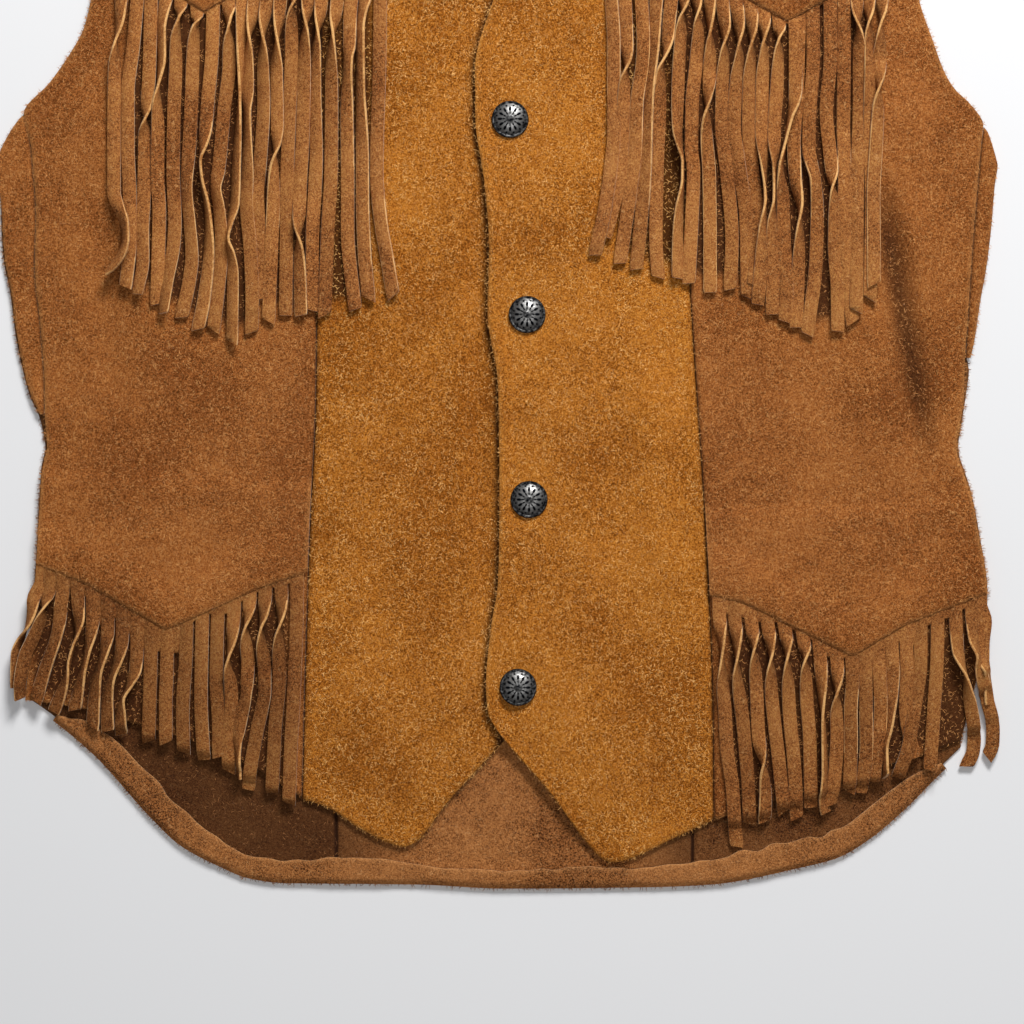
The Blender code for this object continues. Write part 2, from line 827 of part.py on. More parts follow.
def make_fringe(stack, name, fringe, point):
    """Strips cut side by side, hanging from a narrow band just under a pointed edge."""
    count = fringe["strips"]
    first, last = fringe["roots"]
    pitch = (last - first) / count
    half = (pitch - STRIP_GAP) / 2
    tip_shares = [i / (len(fringe["tips"]) - 1) for i in range(len(fringe["tips"]))]
    tip_x = smooth([("tip", share, tip[1]) for share, tip in zip(tip_shares, fringe["tips"])])
    tip_y = smooth([("tip", share, tip[2]) for share, tip in zip(tip_shares, fringe["tips"])])
    bends = fringe["bends"]

    points, faces = [], []
    roots = []
    for level in (BAND_HEIGHT, -BAND_SHOWS):
        line = []
        for i in range(count):
            for side in (-half, half):
                x = first + pitch * (i + 0.5) + side
                y = point(x) + level
                line.append(len(points))
                points.append((x, y, stack.rest(x, y, pitch / 2, 3, LAY)))
        roots.append(line)
    for a, b in zip(range(2 * count - 1), range(1, 2 * count)):
        faces.append((roots[1][a], roots[1][b], roots[0][b], roots[0][a]))

    for i in range(count):
        share = (i + 0.5) / count
        root_x = first + pitch * (i + 0.5)
        root_y = point(root_x) - BAND_SHOWS
        end_x, end_y = tip_x(share), tip_y(share)
        end_y += 3.0 * math.sin(2.4 * i)
        above = (roots[1][2 * i], roots[1][2 * i + 1])
        step = (root_y - end_y) / bends
        for k in range(1, bends + 1):
            t = k / bends
            x = root_x + (end_x - root_x) * t ** 1.4 + fringe["bend"] * math.sin(math.pi * t)
            y = root_y + (end_y - root_y) * t
            crowd = (tip_x(min(share + 0.5 / count, 1)) - tip_x(max(share - 0.5 / count, 0))) / pitch
            width = half * (1 + (min(crowd, 1.06) - 1) * t)
            z = stack.rest(x, y, half + STRIP_REACH, step, SOFT_LAY)
            here = (len(points), len(points) + 1)
            points += [(x - width, y, z), (x + width, y, z)]
            faces.append((here[0], here[1], above[1], above[0]))
            above = here
    stack.add_wall(name, points, faces, FRINGE_SUEDE, FRINGE_COLOUR)


def make_yokes(stack):
    """Pointed yokes: over the fronts' upper edge, then down to the back's shoulder seam."""
    step = FRONT_UNDER_YOKE + 1
    beyond = STEP_END + 2
    left_rows = [
        (143.8, 180.5, yoke_point_left, 2),
        (143.8 + step, 180.5 + step, above_point(yoke_point_left, step), 2),
        (143.8 + beyond, 180.5 + beyond, above_point(yoke_point_left, beyond), 5),
        (257.9, 294.9, shoulder, 0),
    ]
    right_rows = [
        (173, 140.5, yoke_point_right, 2),
        (173 + step, 140.5 + step, above_point(yoke_point_right, step), 2),
        (173 + beyond, 140.5 + beyond, above_point(yoke_point_right, beyond), 5),
        (294.9, 257.9, shoulder, 0),
    ]
    left_shares = (0, 0.1, 0.2, 0.292, 0.41, 0.53, 0.65, 0.76, 0.88, 1)
    right_shares = (0, 0.12, 0.24, 0.35, 0.46, 0.57, 0.669, 0.78, 0.89, 1)
    sides = (
        ("left", front_side_left, free_edge_left, left_rows, left_shares, yoke_point_left),
        ("right", free_edge_right, front_side_right, right_rows, right_shares, yoke_point_right),
    )
    for side, left, right, rows, shares, point in sides:

        def lower(x, y, point=point):
            fall = ease((y - point(x) - FRONT_UNDER_YOKE - 1) / YOKE_FALL)
            lapped = lap_lower(x, y) if side == "right" else front_lower(x, y)
            return lapped + (SUEDE + LAY) * (1 - fall) + stepped(point, x, y) + YOKE_ROOM

        plan = grid(left, right, rows, shares)
        stack.add_panel(f"yoke_{side}", raised(plan, lower), SIDE_SUEDE)


def make_snap(stack, number, x, y):
    """A riveted snap's domed cap on the right front."""
    vertices, faces = [], []
    rings = len(CAP_PROFILE)
    for _, radius, height in CAP_PROFILE:
        for i in range(CAP_SIDES):
            angle = 2 * math.pi * i / CAP_SIDES
            vertices.append((radius * math.cos(angle), radius * math.sin(angle), height))
    vertices.append((0, 0, CAP_TOP))
    top = len(vertices) - 1
    for ring in range(rings - 1):
        for i in range(CAP_SIDES):
            j = (i + 1) % CAP_SIDES
            low, high = ring * CAP_SIDES, (ring + 1) * CAP_SIDES
            faces.append((low + i, low + j, high + j, high + i))
    last = (rings - 1) * CAP_SIDES
    faces += [(last + i, last + (i + 1) % CAP_SIDES, top) for i in range(CAP_SIDES)]
    faces.append(tuple(reversed(range(CAP_SIDES))))
    cap = add_object(f"snap_cap_{number}", vertices, faces, SNAP_METAL, 0.4, 0.9)
    reach = CAP_PROFILE[1][1]
    cap.location = Vector((x, y, stack.rest(x, y, reach, reach, LAY))) * MM
    cap.data.shade_smooth()
    cap.data.set_sharp_from_angle(angle=math.radians(40))


def main():
    """Lay the pieces from the table up."""
    for item in list(bpy.data.objects):
        bpy.data.objects.remove(item)
    stack = Stack()
    make_back(stack)
    make_turn_up(stack)
    make_gussets(stack)
    pockets = make_side_fronts(stack)
    make_fronts(stack)
    make_fringe(stack, "pocket_fringe_left", POCKET_FRINGE_LEFT, pocket_point_left)
    make_fringe(stack, "pocket_fringe_right", POCKET_FRINGE_RIGHT, pocket_point_right)
    for name, panel in pockets:
        stack.add_panel(name, panel, SIDE_SUEDE)
    make_fringe(stack, "chest_fringe_left", CHEST_FRINGE_LEFT, yoke_point_left)
    make_fringe(stack, "chest_fringe_right", CHEST_FRINGE_RIGHT, yoke_point_right)
    make_yokes(stack)
    for number, (_, y, x) in enumerate(SNAPS, 1):
        make_snap(stack, number, x, y)


main()
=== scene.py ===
"""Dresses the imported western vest: tan split suede with hand-cut fringe, laid flat, front up.

Plan tables and sizes are in millimetres in the part's frame, as in the part's own source, and become
metres in the meshes. +X is to the right as the laid vest is seen from above, +Y is towards the
shoulders, +Z is up from the table. "Left" is the side at -X.
"""

from __future__ import annotations

import logging
import math
from collections.abc import Callable, Sequence
from dataclasses import dataclass, field
from enum import Enum

import bpy
import numpy as np
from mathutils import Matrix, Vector
from mathutils.bvhtree import BVHTree

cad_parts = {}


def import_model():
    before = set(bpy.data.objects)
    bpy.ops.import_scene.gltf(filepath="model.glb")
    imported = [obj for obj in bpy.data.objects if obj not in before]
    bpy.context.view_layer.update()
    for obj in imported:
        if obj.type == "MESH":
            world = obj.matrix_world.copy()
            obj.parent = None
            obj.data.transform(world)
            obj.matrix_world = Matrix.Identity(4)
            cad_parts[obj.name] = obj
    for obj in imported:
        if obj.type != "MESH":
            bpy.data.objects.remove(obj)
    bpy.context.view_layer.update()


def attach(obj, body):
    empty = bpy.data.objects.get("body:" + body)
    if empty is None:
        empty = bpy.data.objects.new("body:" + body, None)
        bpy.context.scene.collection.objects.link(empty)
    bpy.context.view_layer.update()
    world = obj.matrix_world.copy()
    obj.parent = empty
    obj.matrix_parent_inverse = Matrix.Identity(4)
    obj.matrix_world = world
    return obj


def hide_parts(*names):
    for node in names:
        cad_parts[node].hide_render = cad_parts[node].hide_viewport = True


LOG = logging.getLogger("western_vest")
MM = 0.001
SEED = 1871
# Colour of the painted shade: under other pieces, beside the lapped front's edge, in seams and the deepest
# crease, on the back's inside and over some fringes
DEEP_SHADE = "#30170A"

# Farther from an edge, in millimetres, than its rounding and wear reach
FAR = 99.0

# Share of its box that a piece's plan is held against; nothing is done with the outcome
BOX_SHARE = 0.3

# Leather, the room left between pieces, and the fringe, all as in the CAD
SUEDE = 1.5
FRINGE_SUEDE = 1.4
SEAM_HALF = 0.2
LAY = 0.3
LAP_LAY = 0.45
BAND_HEIGHT = 9.0
OVER_BAND = FRINGE_SUEDE + 0.05
UNDER_YOKE = 12
STEP_START = 12.0
STEP_END = 26.0
STRIP_ROOM = 0.35
POINT_ROOM = 0.3
YOKE_LEVEL = 28
TWISTED = 0.2
LAP_FLAT = 11.0
LAP_FALL = 14.0

# The photograph: millimetres to a pixel, and the pixel over the origin
PIXEL = 0.465
ORIGIN_PX = (506.0, 254.0)

# Armholes, sides and seams: place, height y, distance x
ARMHOLE_LEFT = (
    ("shoulder tip", 258, -188),
    ("below the shoulder", 230, -184.5),
    ("innermost", 190, -183),
    ("yoke point level", 144, -188.5),
    ("chest", 118, -193.4),
    ("curve begins", 105, -196.7),
    ("curve", 94, -202.7),
    ("curve", 80, -212.5),
    ("gusset top", 65.6, -224.6),
)
GUSSET_SIDE_LEFT = (
    ("curve ends", 51, -235.3),
    ("underarm", 41, -238.6),
    ("side", 25, -235.3),
    ("side", -2, -233.4),
    ("side", -18, -230.2),
    ("side", -37, -227.8),
    ("waist", -55, -224.1),
    ("waist", -66.5, -220.9),
    ("gusset foot", -75, -216.9),
)
GUSSET_SEAM_LEFT = (
    ("chest", 49, -221.3),
    ("chest", 15, -219),
    ("ribs", -6, -219.6),
    ("waist", -34, -216.9),
    ("waist", -66.5, -214.9),
    ("gusset foot", -75, -214.9),
)
HIP_LEFT = (
    ("waist", -90, -213.8),
    ("pocket top", -98, -215.6),
    ("pocket", -147, -218.6),
    ("fringe", -180, -221.5),
    ("hem corner", -207.5, -224.1),
)
ARMHOLE_RIGHT = (
    ("shoulder tip", 258, 188),
    ("below the shoulder", 230, 184.5),
    ("innermost", 190, 183),
    ("yoke point level", 144, 187.3),
    ("chest", 118, 192.5),
    ("curve begins", 100, 198.6),
    ("curve", 84, 204.6),
    ("curve", 76, 209.8),
    ("curve", 71, 215.3),
    ("gusset top", 60, 222.3),
)
GUSSET_SIDE_RIGHT = (
    ("curve ends", 53, 226),
    ("underarm", 42, 229.2),
    ("side", 32.6, 227.9),
    ("side", 10.7, 226),
    ("side", -7.4, 223.7),
    ("side", -20.5, 221.3),
    ("waist", -40, 218.2),
    ("gusset foot", -48.8, 216.2),
)
GUSSET_SEAM_RIGHT = (
    ("chest", 46, 220.9),
    ("chest", 23.7, 219),
    ("ribs", 1.9, 217.2),
    ("ribs", -20.5, 215.8),
    ("waist", -40, 214.4),
    ("gusset foot", -48.8, 213.9),
)
HIP_RIGHT = (
    ("waist", -67.9, 213.2),
    ("waist", -78.6, 211.6),
    ("waist", -90.2, 209.9),
    ("pocket top", -102.3, 213.4),
    ("pocket", -111.6, 216.2),
    ("pocket", -130.7, 219.9),
    ("pocket point level", -156.7, 223.6),
    ("fringe", -180, 222.7),
    ("fringe", -205, 217.5),
    ("hem corner", -226.5, 212),
)
FREE_EDGE_RIGHT = (
    ("neck point", 295, 75),
    ("neckline", 240, 46),
    ("neckline", 180, 19),
    ("neckline", 118, -5.6),
    ("neckline begins", 85, -14.4),
    ("top snap", 62, -14.2),
    ("front edge", 34, -10.2),
    ("front edge", 2, -7.9),
    ("second snap", -28, -8.6),
    ("front edge", -60, -3.8),
    ("third snap", -114, -3.0),
    ("front edge", -152, -3.7),
    ("front edge", -174, -7.0),
    ("fourth snap", -201, -9.3),
    ("front edge", -213.4, -8.4),
    ("hem corner", -222.7, -3.3),
)
SNAPS = (
    # place, height y, distance x
    ("top", 62.1, 1.9),
    ("second", -28.4, 9.8),
    ("third", -114.2, 10.7),
    ("fourth", -201.3, 5.6),
)
PRINCESS_LEFT = (
    ("yoke", 170, -86),
    ("ribs", -27, -87.9),
    ("waist", -67, -88.3),
    ("hip", -128, -91.1),
    ("hem", -253, -94.9),
)
PRINCESS_RIGHT = (
    ("yoke", 170, 79.5),
    ("ribs", -15, 85.6),
    ("waist", -67, 88.8),
    ("hip", -121, 92.3),
    ("hip", -204, 96),
    ("hem", -263, 96.8),
)
BACK_SEAM_LEFT = (
    ("shoulder", 282, -120),
    ("ribs", 60, -92),
    ("waist", -100, -80),
    ("hem", -292, -79),
)
BACK_SEAM_RIGHT = (
    ("shoulder", 282, 120),
    ("ribs", 60, 96),
    ("waist", -100, 87),
    ("hem", -294, 87),
)

# Hems and pointed edges: place, distance x, height y
BACK_HEM = (
    ("left corner", -224.4, -207.9),
    ("left", -215.3, -213.9),
    ("left curve", -192, -233),
    ("left curve", -164.6, -263.2),
    ("left curve", -151.6, -275.3),
    ("left curve", -134.4, -284.6),
    ("left", -119.5, -290.6),
    ("left", -104.2, -292.7),
    ("middle", -41.4, -293.4),
    ("middle", 0, -295.3),
    ("middle", 68, -294.6),
    ("right", 95.3, -293.4),
    ("right curve", 139.5, -285),
    ("right curve", 154.4, -281),
    ("right curve", 169.7, -272),
    ("right curve", 185.1, -259),
    ("right curve", 200, -244.1),
    ("right corner", 213, -231.5),
)
FRONT_HEM_LEFT = (
    ("side seam", -95, -253.4),
    ("curve", -82.3, -258.5),
    ("curve", -68.4, -268.3),
    ("curve", -54.9, -275.7),
    ("point", -47.4, -278.1),
    ("point", -43.2, -276.9),
    ("slant", -27.4, -258.5),
    ("slant", 0.9, -229.2),
    ("front edge", 26, -205),
)
FRONT_HEM_RIGHT = (
    ("front edge", -3.4, -222.7),
    ("slant", 1.4, -228.8),
    ("slant", 20, -250.2),
    ("slant", 41.9, -279),
    ("point", 46, -282.3),
    ("point", 50.7, -283.2),
    ("curve", 58.1, -281.3),
    ("curve", 74.9, -273.4),
    ("side seam", 97, -263.2),
)
SIDE_HEM_LEFT = (
    ("side seam", -224.2, -207.5),
    ("side", -198.1, -211.1),
    ("middle", -165.5, -220.4),
    ("middle", -133, -230.6),
    ("front seam", -94.5, -252.6),
)
SIDE_HEM_RIGHT = (
    ("front seam", 96.7, -263.2),
    ("middle", 150, -246),
    ("side", 202.7, -230.2),
    ("side seam", 212.2, -226.5),
)
POCKET_POINT_LEFT = (
    ("side", -218.6, -144.2),
    ("side leg", -194.8, -153.5),
    ("tip", -157.6, -174.8),
    ("inner leg", -114.4, -155.3),
    ("front seam", -91.6, -147.7),
)
POCKET_POINT_RIGHT = (
    ("front seam", 93.9, -158.6),
    ("inner leg", 109.3, -161.8),
    ("tip", 160.9, -186.9),
    ("side leg", 185.1, -172.5),
    ("side", 223.6, -158),
)
POCKET_TOP_LEFT = (("side", -215.6, -97.7), ("front seam", -89, -104.2))
POCKET_TOP_RIGHT = (("front seam", 92, -116), ("hip", 182, -114.9), ("side", 214.5, -109))
YOKE_POINT_LEFT = (
    ("armhole", -188.5, 143.8),
    ("tip", -140, 112),
    ("inner leg", -53, 162.5),
    ("neckline", -21, 180.5),
)
YOKE_POINT_RIGHT = (
    ("neckline", 16, 173),
    ("inner leg", 46.5, 155.8),
    ("tip", 130.7, 107.4),
    ("armhole", 187.5, 140.5),
)
NECK_HALF_WIDTH = 75
NECK_Y = 295
SHOULDER_HALF_WIDTH = 188
SHOULDER_TIP_Y = 258
NECK_SCOOP = 23

# Turned-up hem of the back: place, distance x, width of the turn-up
TURN_UP_WIDTH = (
    ("left end", -211, 3.5),
    ("left", -196, 11),
    ("left curve", -165, 13),
    ("left", -104, 10.5),
    ("middle", -62, 12.4),
    ("middle", -27, 8.6),
    ("middle", 50, 9.0),
    ("middle", 71, 9.2),
    ("right", 109, 13.6),
    ("right curve", 160, 13.2),
    ("right", 190, 11),
    ("right end", 205, 3.5),
)

# The fronts lie slightly puffed over the back, with these folds. A trough has a negative height.
PUFF = 3.2
SIDE_EASE = 42.0
SHOULDER_EASE = 55.0
HEM_EASE = 60.0
FOLDS = (
    # place, x and y of the upper end, x and y of the lower end, half width, height
    ("right side trough", 170, 55, 199, -118, 10, -2.9),
    ("right side inner ridge", 152, 60, 178, -112, 15, 2.8),
    ("right side outer ridge", 190, 40, 212, -96, 9, 2.4),
    ("left side hollow", -193, 45, -186, -80, 12, -1.9),
    ("left side ridge", -168, 40, -160, -85, 14, 1.6),
    ("left front hollow", -22, 40, -18, -175, 11, -1.2),
    ("right front wave", 66, -40, 76, -200, 12, 1.4),
)

# Snap caps: radius and height from the rim in, and rings of petals by distance out, height, half length,
# half width and where the first one starts
CAP_SIDES = 48
CAP_RADIUS = 8.5
CAP_PROFILE = ((8.62, 0.45), (8.6, 0.8), (8.3, 1.2), (7.75, 1.3), (7.4, 1.12), (7.05, 1.3), (6.2, 1.9))
CAP_PROFILE += ((5.0, 2.5), (3.6, 2.95), (2.4, 3.18), (1.6, 3.22), (1.35, 3.42), (0.7, 3.5))
PETAL_RINGS = ((4.7, 2.6, 1.25, 0.62, 0.0), (6.35, 1.78, 0.5, 0.5, 0.5), (2.9, 3.12, 0.75, 0.34, 0.0))

# Fringe strips as seen from above, in the order laid: pixels across and down, and roll in degrees. A roll
# above 0 raises the right edge; past 90 the strip lies turned over.
CHEST_STRIPS_LEFT = (
    ((138, 0, 5), (134, 50, 10), (129, 95, 10), (129, 150, 5), (131, 200, 5), (131, 245, 10),
     (127, 288, 15)),
    ((122, 0, 20), (121, 22, 50), (117, 45, 90), (116, 70, 150), (115, 130, 180), (115, 193, 185),
     (121, 210, 215), (127, 225, 235), (128, 240, 240), (124, 255, 235), (116, 266, 235), (108, 273, 250)),
    ((152, 0, 5), (150, 80, 8), (148, 105, 30), (147, 122, 90), (146, 140, 165), (145, 200, 180),
     (144, 230, 195), (144.5, 262, 200), (139, 295, 215)),
    ((167, 0, 20), (163, 31, 50), (163.5, 60, 55), (160, 88, 85), (158.5, 105, 120), (159, 125, 150),
     (158.5, 175, 170), (160.5, 215, 185), (160, 240, 180), (158, 305, 180)),
    ((182, 0, 30), (181, 15, 70), (179, 28, 100), (177, 42, 130), (177, 60, 150), (175, 110, 172),
     (174, 170, 178), (176, 225, 185), (175, 245, 190), (169.5, 280, 210), (165, 314, 225)),
    ((197, 0, 30), (198, 15, 70), (197, 28, 105), (195, 42, 135), (194, 60, 155), (192, 110, 175),
     (190.5, 140, 178), (188, 190, 215), (191, 225, 210), (193, 258, 195), (190.5, 280, 185),
     (182.5, 318, 180)),
    ((214, 0, 0), (213, 50, 3), (208.5, 105, 5), (207, 128, 20), (205, 145, 50), (202, 163, 85),
     (203, 180, 80), (208, 205, 70), (210, 225, 60), (210.5, 245, 45), (205, 300, 18), (199, 330, 12)),
    ((229, 0, 25), (230, 18, 60), (230, 33, 95), (230, 48, 140), (230, 65, 160), (225, 110, 175),
     (219.5, 170, 190), (217, 190, 220), (220, 208, 215), (222.5, 245, 195), (219, 290, 185),
     (214, 331, 180)),
    ((268, 0, -10), (266, 15, -30), (264.5, 28, -65), (264, 40, -95), (264, 53, -125), (264, 72, -150),
     (264.5, 100, -160), (260, 174, -170), (258, 195, -190), (260, 235, -180), (260, 300, -180)),
    ((243, 0, -15), (243, 25, -30), (242, 75, -75), (241, 100, -95), (238, 160, -125), (236, 205, -130),
     (231, 225, -115), (229, 240, -100), (232, 255, -125), (234, 275, -145), (233, 343, -150)),
    ((255, 0, -10), (253, 20, -45), (250.5, 38, -90), (249.5, 60, -135), (249, 90, -150),
     (248.5, 115, -120), (248.5, 174, -150), (247, 200, -165), (251, 250, -175), (253, 300, -180),
     (252, 333, -180)),
    ((281, 0, -10), (280, 15, -35), (279, 30, -65), (278, 42, -95), (277.5, 56, -125), (277.5, 75, -155),
     (278, 125, -160), (278, 143, -130), (276, 156, -95), (275, 168, -60), (274, 205, -20), (272, 250, -5),
     (269, 322, 0)),
    ((295, 0, 60), (293, 10, 95), (292.5, 22, 135), (292, 60, 175), (290, 112, 185), (287.5, 190, 185),
     (287, 250, 180), (286, 316, 180)),
    ((308.5, 0, -15), (308, 12, -45), (307, 24, -85), (306, 36, -120), (305, 72, -160), (303, 145, -175),
     (300.5, 190, -180), (300, 212, -200), (299, 228, -240), (299.5, 240, -280), (300, 252, -310),
     (300.5, 270, -330), (301.5, 316, -345)),
    ((322, 0, -10), (321, 14, -35), (319.5, 26, -70), (318, 38, -105), (317, 52, -130), (316, 100, -150),
     (317, 156, -160), (315.5, 190, -178), (313, 240, -200), (312.5, 311, -190)),
    ((338, 0, -10), (336, 18, -40), (334.5, 30, -75), (333, 42, -105), (332, 55, -130), (332, 95, -165),
     (331.5, 174, -178), (328.5, 227, -195), (325, 316, -185)),
    ((352, 0, 8), (350.5, 20, 12), (350, 48, 25), (349, 60, 50), (348.5, 72, 50), (347.5, 110, 22),
     (348, 174, 10), (348, 230, 3), (355.5, 310, 3)),
    ((366, 0, 25), (363.5, 12, 50), (361, 30, 55), (361, 90, 50), (362, 117, 40), (363, 160, 18),
     (363, 200, 15), (365, 255, 12), (369, 300, 8)),
    ((380.5, 0, 5), (379.5, 75, 8), (377.5, 135, 10), (377, 174, 10), (381, 222, 14), (387, 257, 14),
     (393.5, 297, 10)),
)
CHEST_STRIPS_RIGHT = (
    ((624.5, 0, 5), (626.5, 45, 20), (627, 60, 55), (625.5, 72, 95), (624, 85, 140), (623, 110, 165),
     (620, 174, 175), (615, 200, 178), (605, 238, 180)),
    ((611, 0, 25), (613.5, 45, 15), (613.5, 84, 12), (613.5, 134, 10), (610, 172, 10), (604.5, 210, 8),
     (594.5, 256, 5)),
    ((641, 0, 10), (643, 45, 12), (642, 65, 12), (636.5, 105, 18), (635, 150, 12), (630, 192, 8),
     (619.5, 264, 3)),
    ((656, 0, 15), (655, 17, 30), (653, 50, 40), (648.5, 90, 45), (647, 115, 40), (644.5, 174, 25),
     (641.5, 212, 8), (636, 270, 0)),
    ((671, 0, 10), (669, 20, 15), (667.5, 38, 30), (666, 50, 60), (663, 62, 90), (660, 75, 125),
     (659, 115, 165), (656.5, 172, 175), (655.5, 240, 180), (658, 278, 180)),
    ((684, 0, 40), (683, 10, 75), (681, 22, 115), (680, 36, 145), (677.5, 84, 160), (676.5, 130, 135),
     (679, 148, 110), (682, 163, 95), (682, 178, 95), (678, 215, 125), (677, 240, 140), (677.5, 279, 160)),
    ((696, 0, 40), (697, 10, 70), (697, 20, 105), (697.5, 32, 140), (695.5, 65, 170), (691.5, 106, 175),
     (691, 150, 180), (693, 172, 182), (691.5, 215, 190), (688, 284, 190)),
    ((709, 0, 30), (709.5, 17, 60), (709.5, 33, 90), (709.5, 48, 130), (709, 75, 185), (707, 100, 245),
     (705.5, 124, 310), (706, 140, 335), (708.5, 174, 355), (709.5, 250, 365), (709.5, 293, 362)),
    ((721.5, 0, 10), (723, 16, 25), (724.5, 30, 50), (724, 42, 85), (723.5, 55, 125), (721.5, 90, 170),
     (721, 125, 178), (726, 172, 185), (731.3, 240, 188), (729.5, 290, 185)),
    ((735, 0, 10), (738.5, 30, 50), (738.5, 42, 85), (738.5, 55, 120), (735.5, 85, 165), (733.5, 125, 178),
     (738, 165, 195), (745.5, 220, 182), (746.8, 298, 180)),
    ((749, 0, 10), (751.5, 30, 50), (751, 42, 85), (750.5, 55, 120), (748.5, 85, 165), (748, 125, 176),
     (752, 174, 180), (757.5, 225, 180), (753, 285, 180)),
    ((763, 0, 10), (763.5, 28, 50), (763, 40, 85), (763, 52, 120), (761.5, 85, 165), (761, 130, 170),
     (763, 165, 120), (764, 200, 90), (762, 228, 125), (760, 265, 165), (757, 305, 180)),
    ((777, 0, 10), (778.5, 30, 60), (778, 42, 95), (777.5, 55, 130), (776, 90, 168), (773.5, 134, 170),
     (773.5, 168, 105), (773, 200, 95), (771.5, 228, 145), (772.5, 265, 172), (771.5, 315, 180)),
    ((799, 0, 0), (796, 100, 3), (793, 145, 12), (794.5, 180, 35), (799, 210, 80), (798.5, 235, 125),
     (797.5, 270, 165), (795, 328, 180)),
    ((794, 0, 3), (794.5, 50, 4), (794.5, 88, 15), (793, 104, 45), (789.5, 118, 75), (784, 145, 92),
     (779.5, 172, 110), (782, 200, 160), (783.5, 245, 178), (786, 285, 195), (784, 322, 185)),
    ((812, 0, 2), (812.5, 60, 3), (809, 110, 6), (808, 150, 0), (811, 167, -25), (814, 180, -35),
     (816, 215, -12), (815, 260, -3), (806.5, 335, 0)),
    ((829.5, 0, 2), (829.5, 60, 3), (825.5, 112, 4), (829, 155, 10), (830.5, 172, 30), (830.5, 183, 70),
     (831.5, 192, 110), (833, 205, 145), (833, 245, 172), (836, 290, 185), (836.5, 332, 182)),
    ((843.5, 0, 3), (843, 72, 3), (842.5, 130, 0), (843, 155, -12), (843.5, 215, 0), (847, 275, 0),
     (851, 324, 0)),
    ((856, 0, -10), (856, 12, -35), (856.5, 24, -75), (857.5, 36, -115), (858, 50, -145),
     (858.5, 100, -170), (856, 185, -180), (854.5, 312, -180)),
    ((868, 0, 25), (868, 14, 60), (867.5, 25, 95), (868, 38, 130), (868.5, 80, 145), (869, 130, 170),
     (870.5, 190, 180), (868.5, 300, 180)),
    ((881, 0, 25), (881, 13, 60), (880, 25, 95), (879, 52, 160), (878, 76, 225), (877, 87, 260),
     (876.5, 110, 330), (874.5, 150, 350), (872, 200, 355), (872, 286, 360)),
)
POCKET_STRIPS_LEFT = (
    ((35, 570, 0), (34, 595, 10), (32.5, 612, 45), (28, 627, 75), (20, 641, 110), (16, 655, 130),
     (15, 687, 125)),
    ((50, 575, 0), (49, 592, 20), (45, 604, 60), (43.5, 614, 110), (40, 624, 140), (33, 640, 150),
     (26, 655, 155), (20.5, 685, 140), (20, 699, 130)),
    ((63, 578, 0), (63, 592, -25), (61, 608, -10), (60, 622, 15), (57, 637, 30), (52, 652, 30),
     (46, 668, 20), (36, 701, 5)),
    ((77.5, 585, 0), (79, 605, 15), (80.5, 620, 40), (79, 632, 70), (75, 645, 88), (71, 660, 92),
     (68, 675, 70), (63, 690, 40), (54, 712, 10)),
    ((93.5, 595, 0), (93.5, 620, 10), (92, 635, 35), (89, 650, 60), (85, 668, 65), (81, 683, 45),
     (75, 710, 10)),
    ((108.5, 605, 0), (108.5, 632, 10), (106, 650, 45), (101, 668, 60), (97, 683, 40), (95, 700, 25),
     (93, 727, 10)),
    ((123.5, 612, 0), (123, 640, 10), (120, 658, 45), (114, 675, 60), (109.5, 690, 40), (108, 705, 25),
     (108, 731, 10)),
    ((138, 622, 0), (137.5, 650, 5), (136.5, 668, 20), (131, 684, 60), (125, 697, 80), (122, 708, 50),
     (121, 735, 15)),
    ((152, 635, 0), (151, 670, 0), (150, 700, -3), (148.5, 742, 0)),
    ((168, 640, 0), (167, 680, 0), (166, 705, 0), (166, 743, 0)),
    ((187, 635, 0), (186, 665, 0), (184, 690, 3), (183, 715, 3), (184, 753, 3)),
    ((203, 620, 0), (202.5, 650, 8), (201.5, 700, 8), (204, 760, 5)),
    ((218.5, 612, 0), (217.5, 650, 5), (217, 680, 5), (219, 725, 0), (219, 757, 0)),
    ((235, 602, 0), (234, 625, 15), (233, 640, 50), (230, 655, 80), (229, 668, 110), (231, 680, 150),
     (232, 700, 172), (229, 745, 180), (228.5, 772, 180)),
    ((250.5, 595, 0), (249.5, 613, 50), (246.5, 628, 90), (247, 643, 140), (248.5, 660, 170),
     (248, 680, 200), (247, 695, 218), (243, 712, 200), (240, 728, 205), (238, 742, 230),
     (238.5, 757, 250), (240, 779, 260)),
    ((266, 590, 0), (265, 612, 45), (262, 628, 85), (262.5, 645, 130), (264.5, 660, 165),
     (265.5, 690, 200), (262, 710, 190), (257.5, 730, 182), (250.5, 770, 178), (248, 790, 178)),
    ((281.5, 585, 0), (282.5, 607, 40), (281, 622, 75), (279.5, 638, 120), (279.5, 655, 160),
     (280, 675, 178), (275.5, 727, 180), (272, 793, 180)),
    ((297.5, 580, 0), (297, 620, 3), (294, 700, 3), (291, 750, 3), (289, 804, 3)),
)
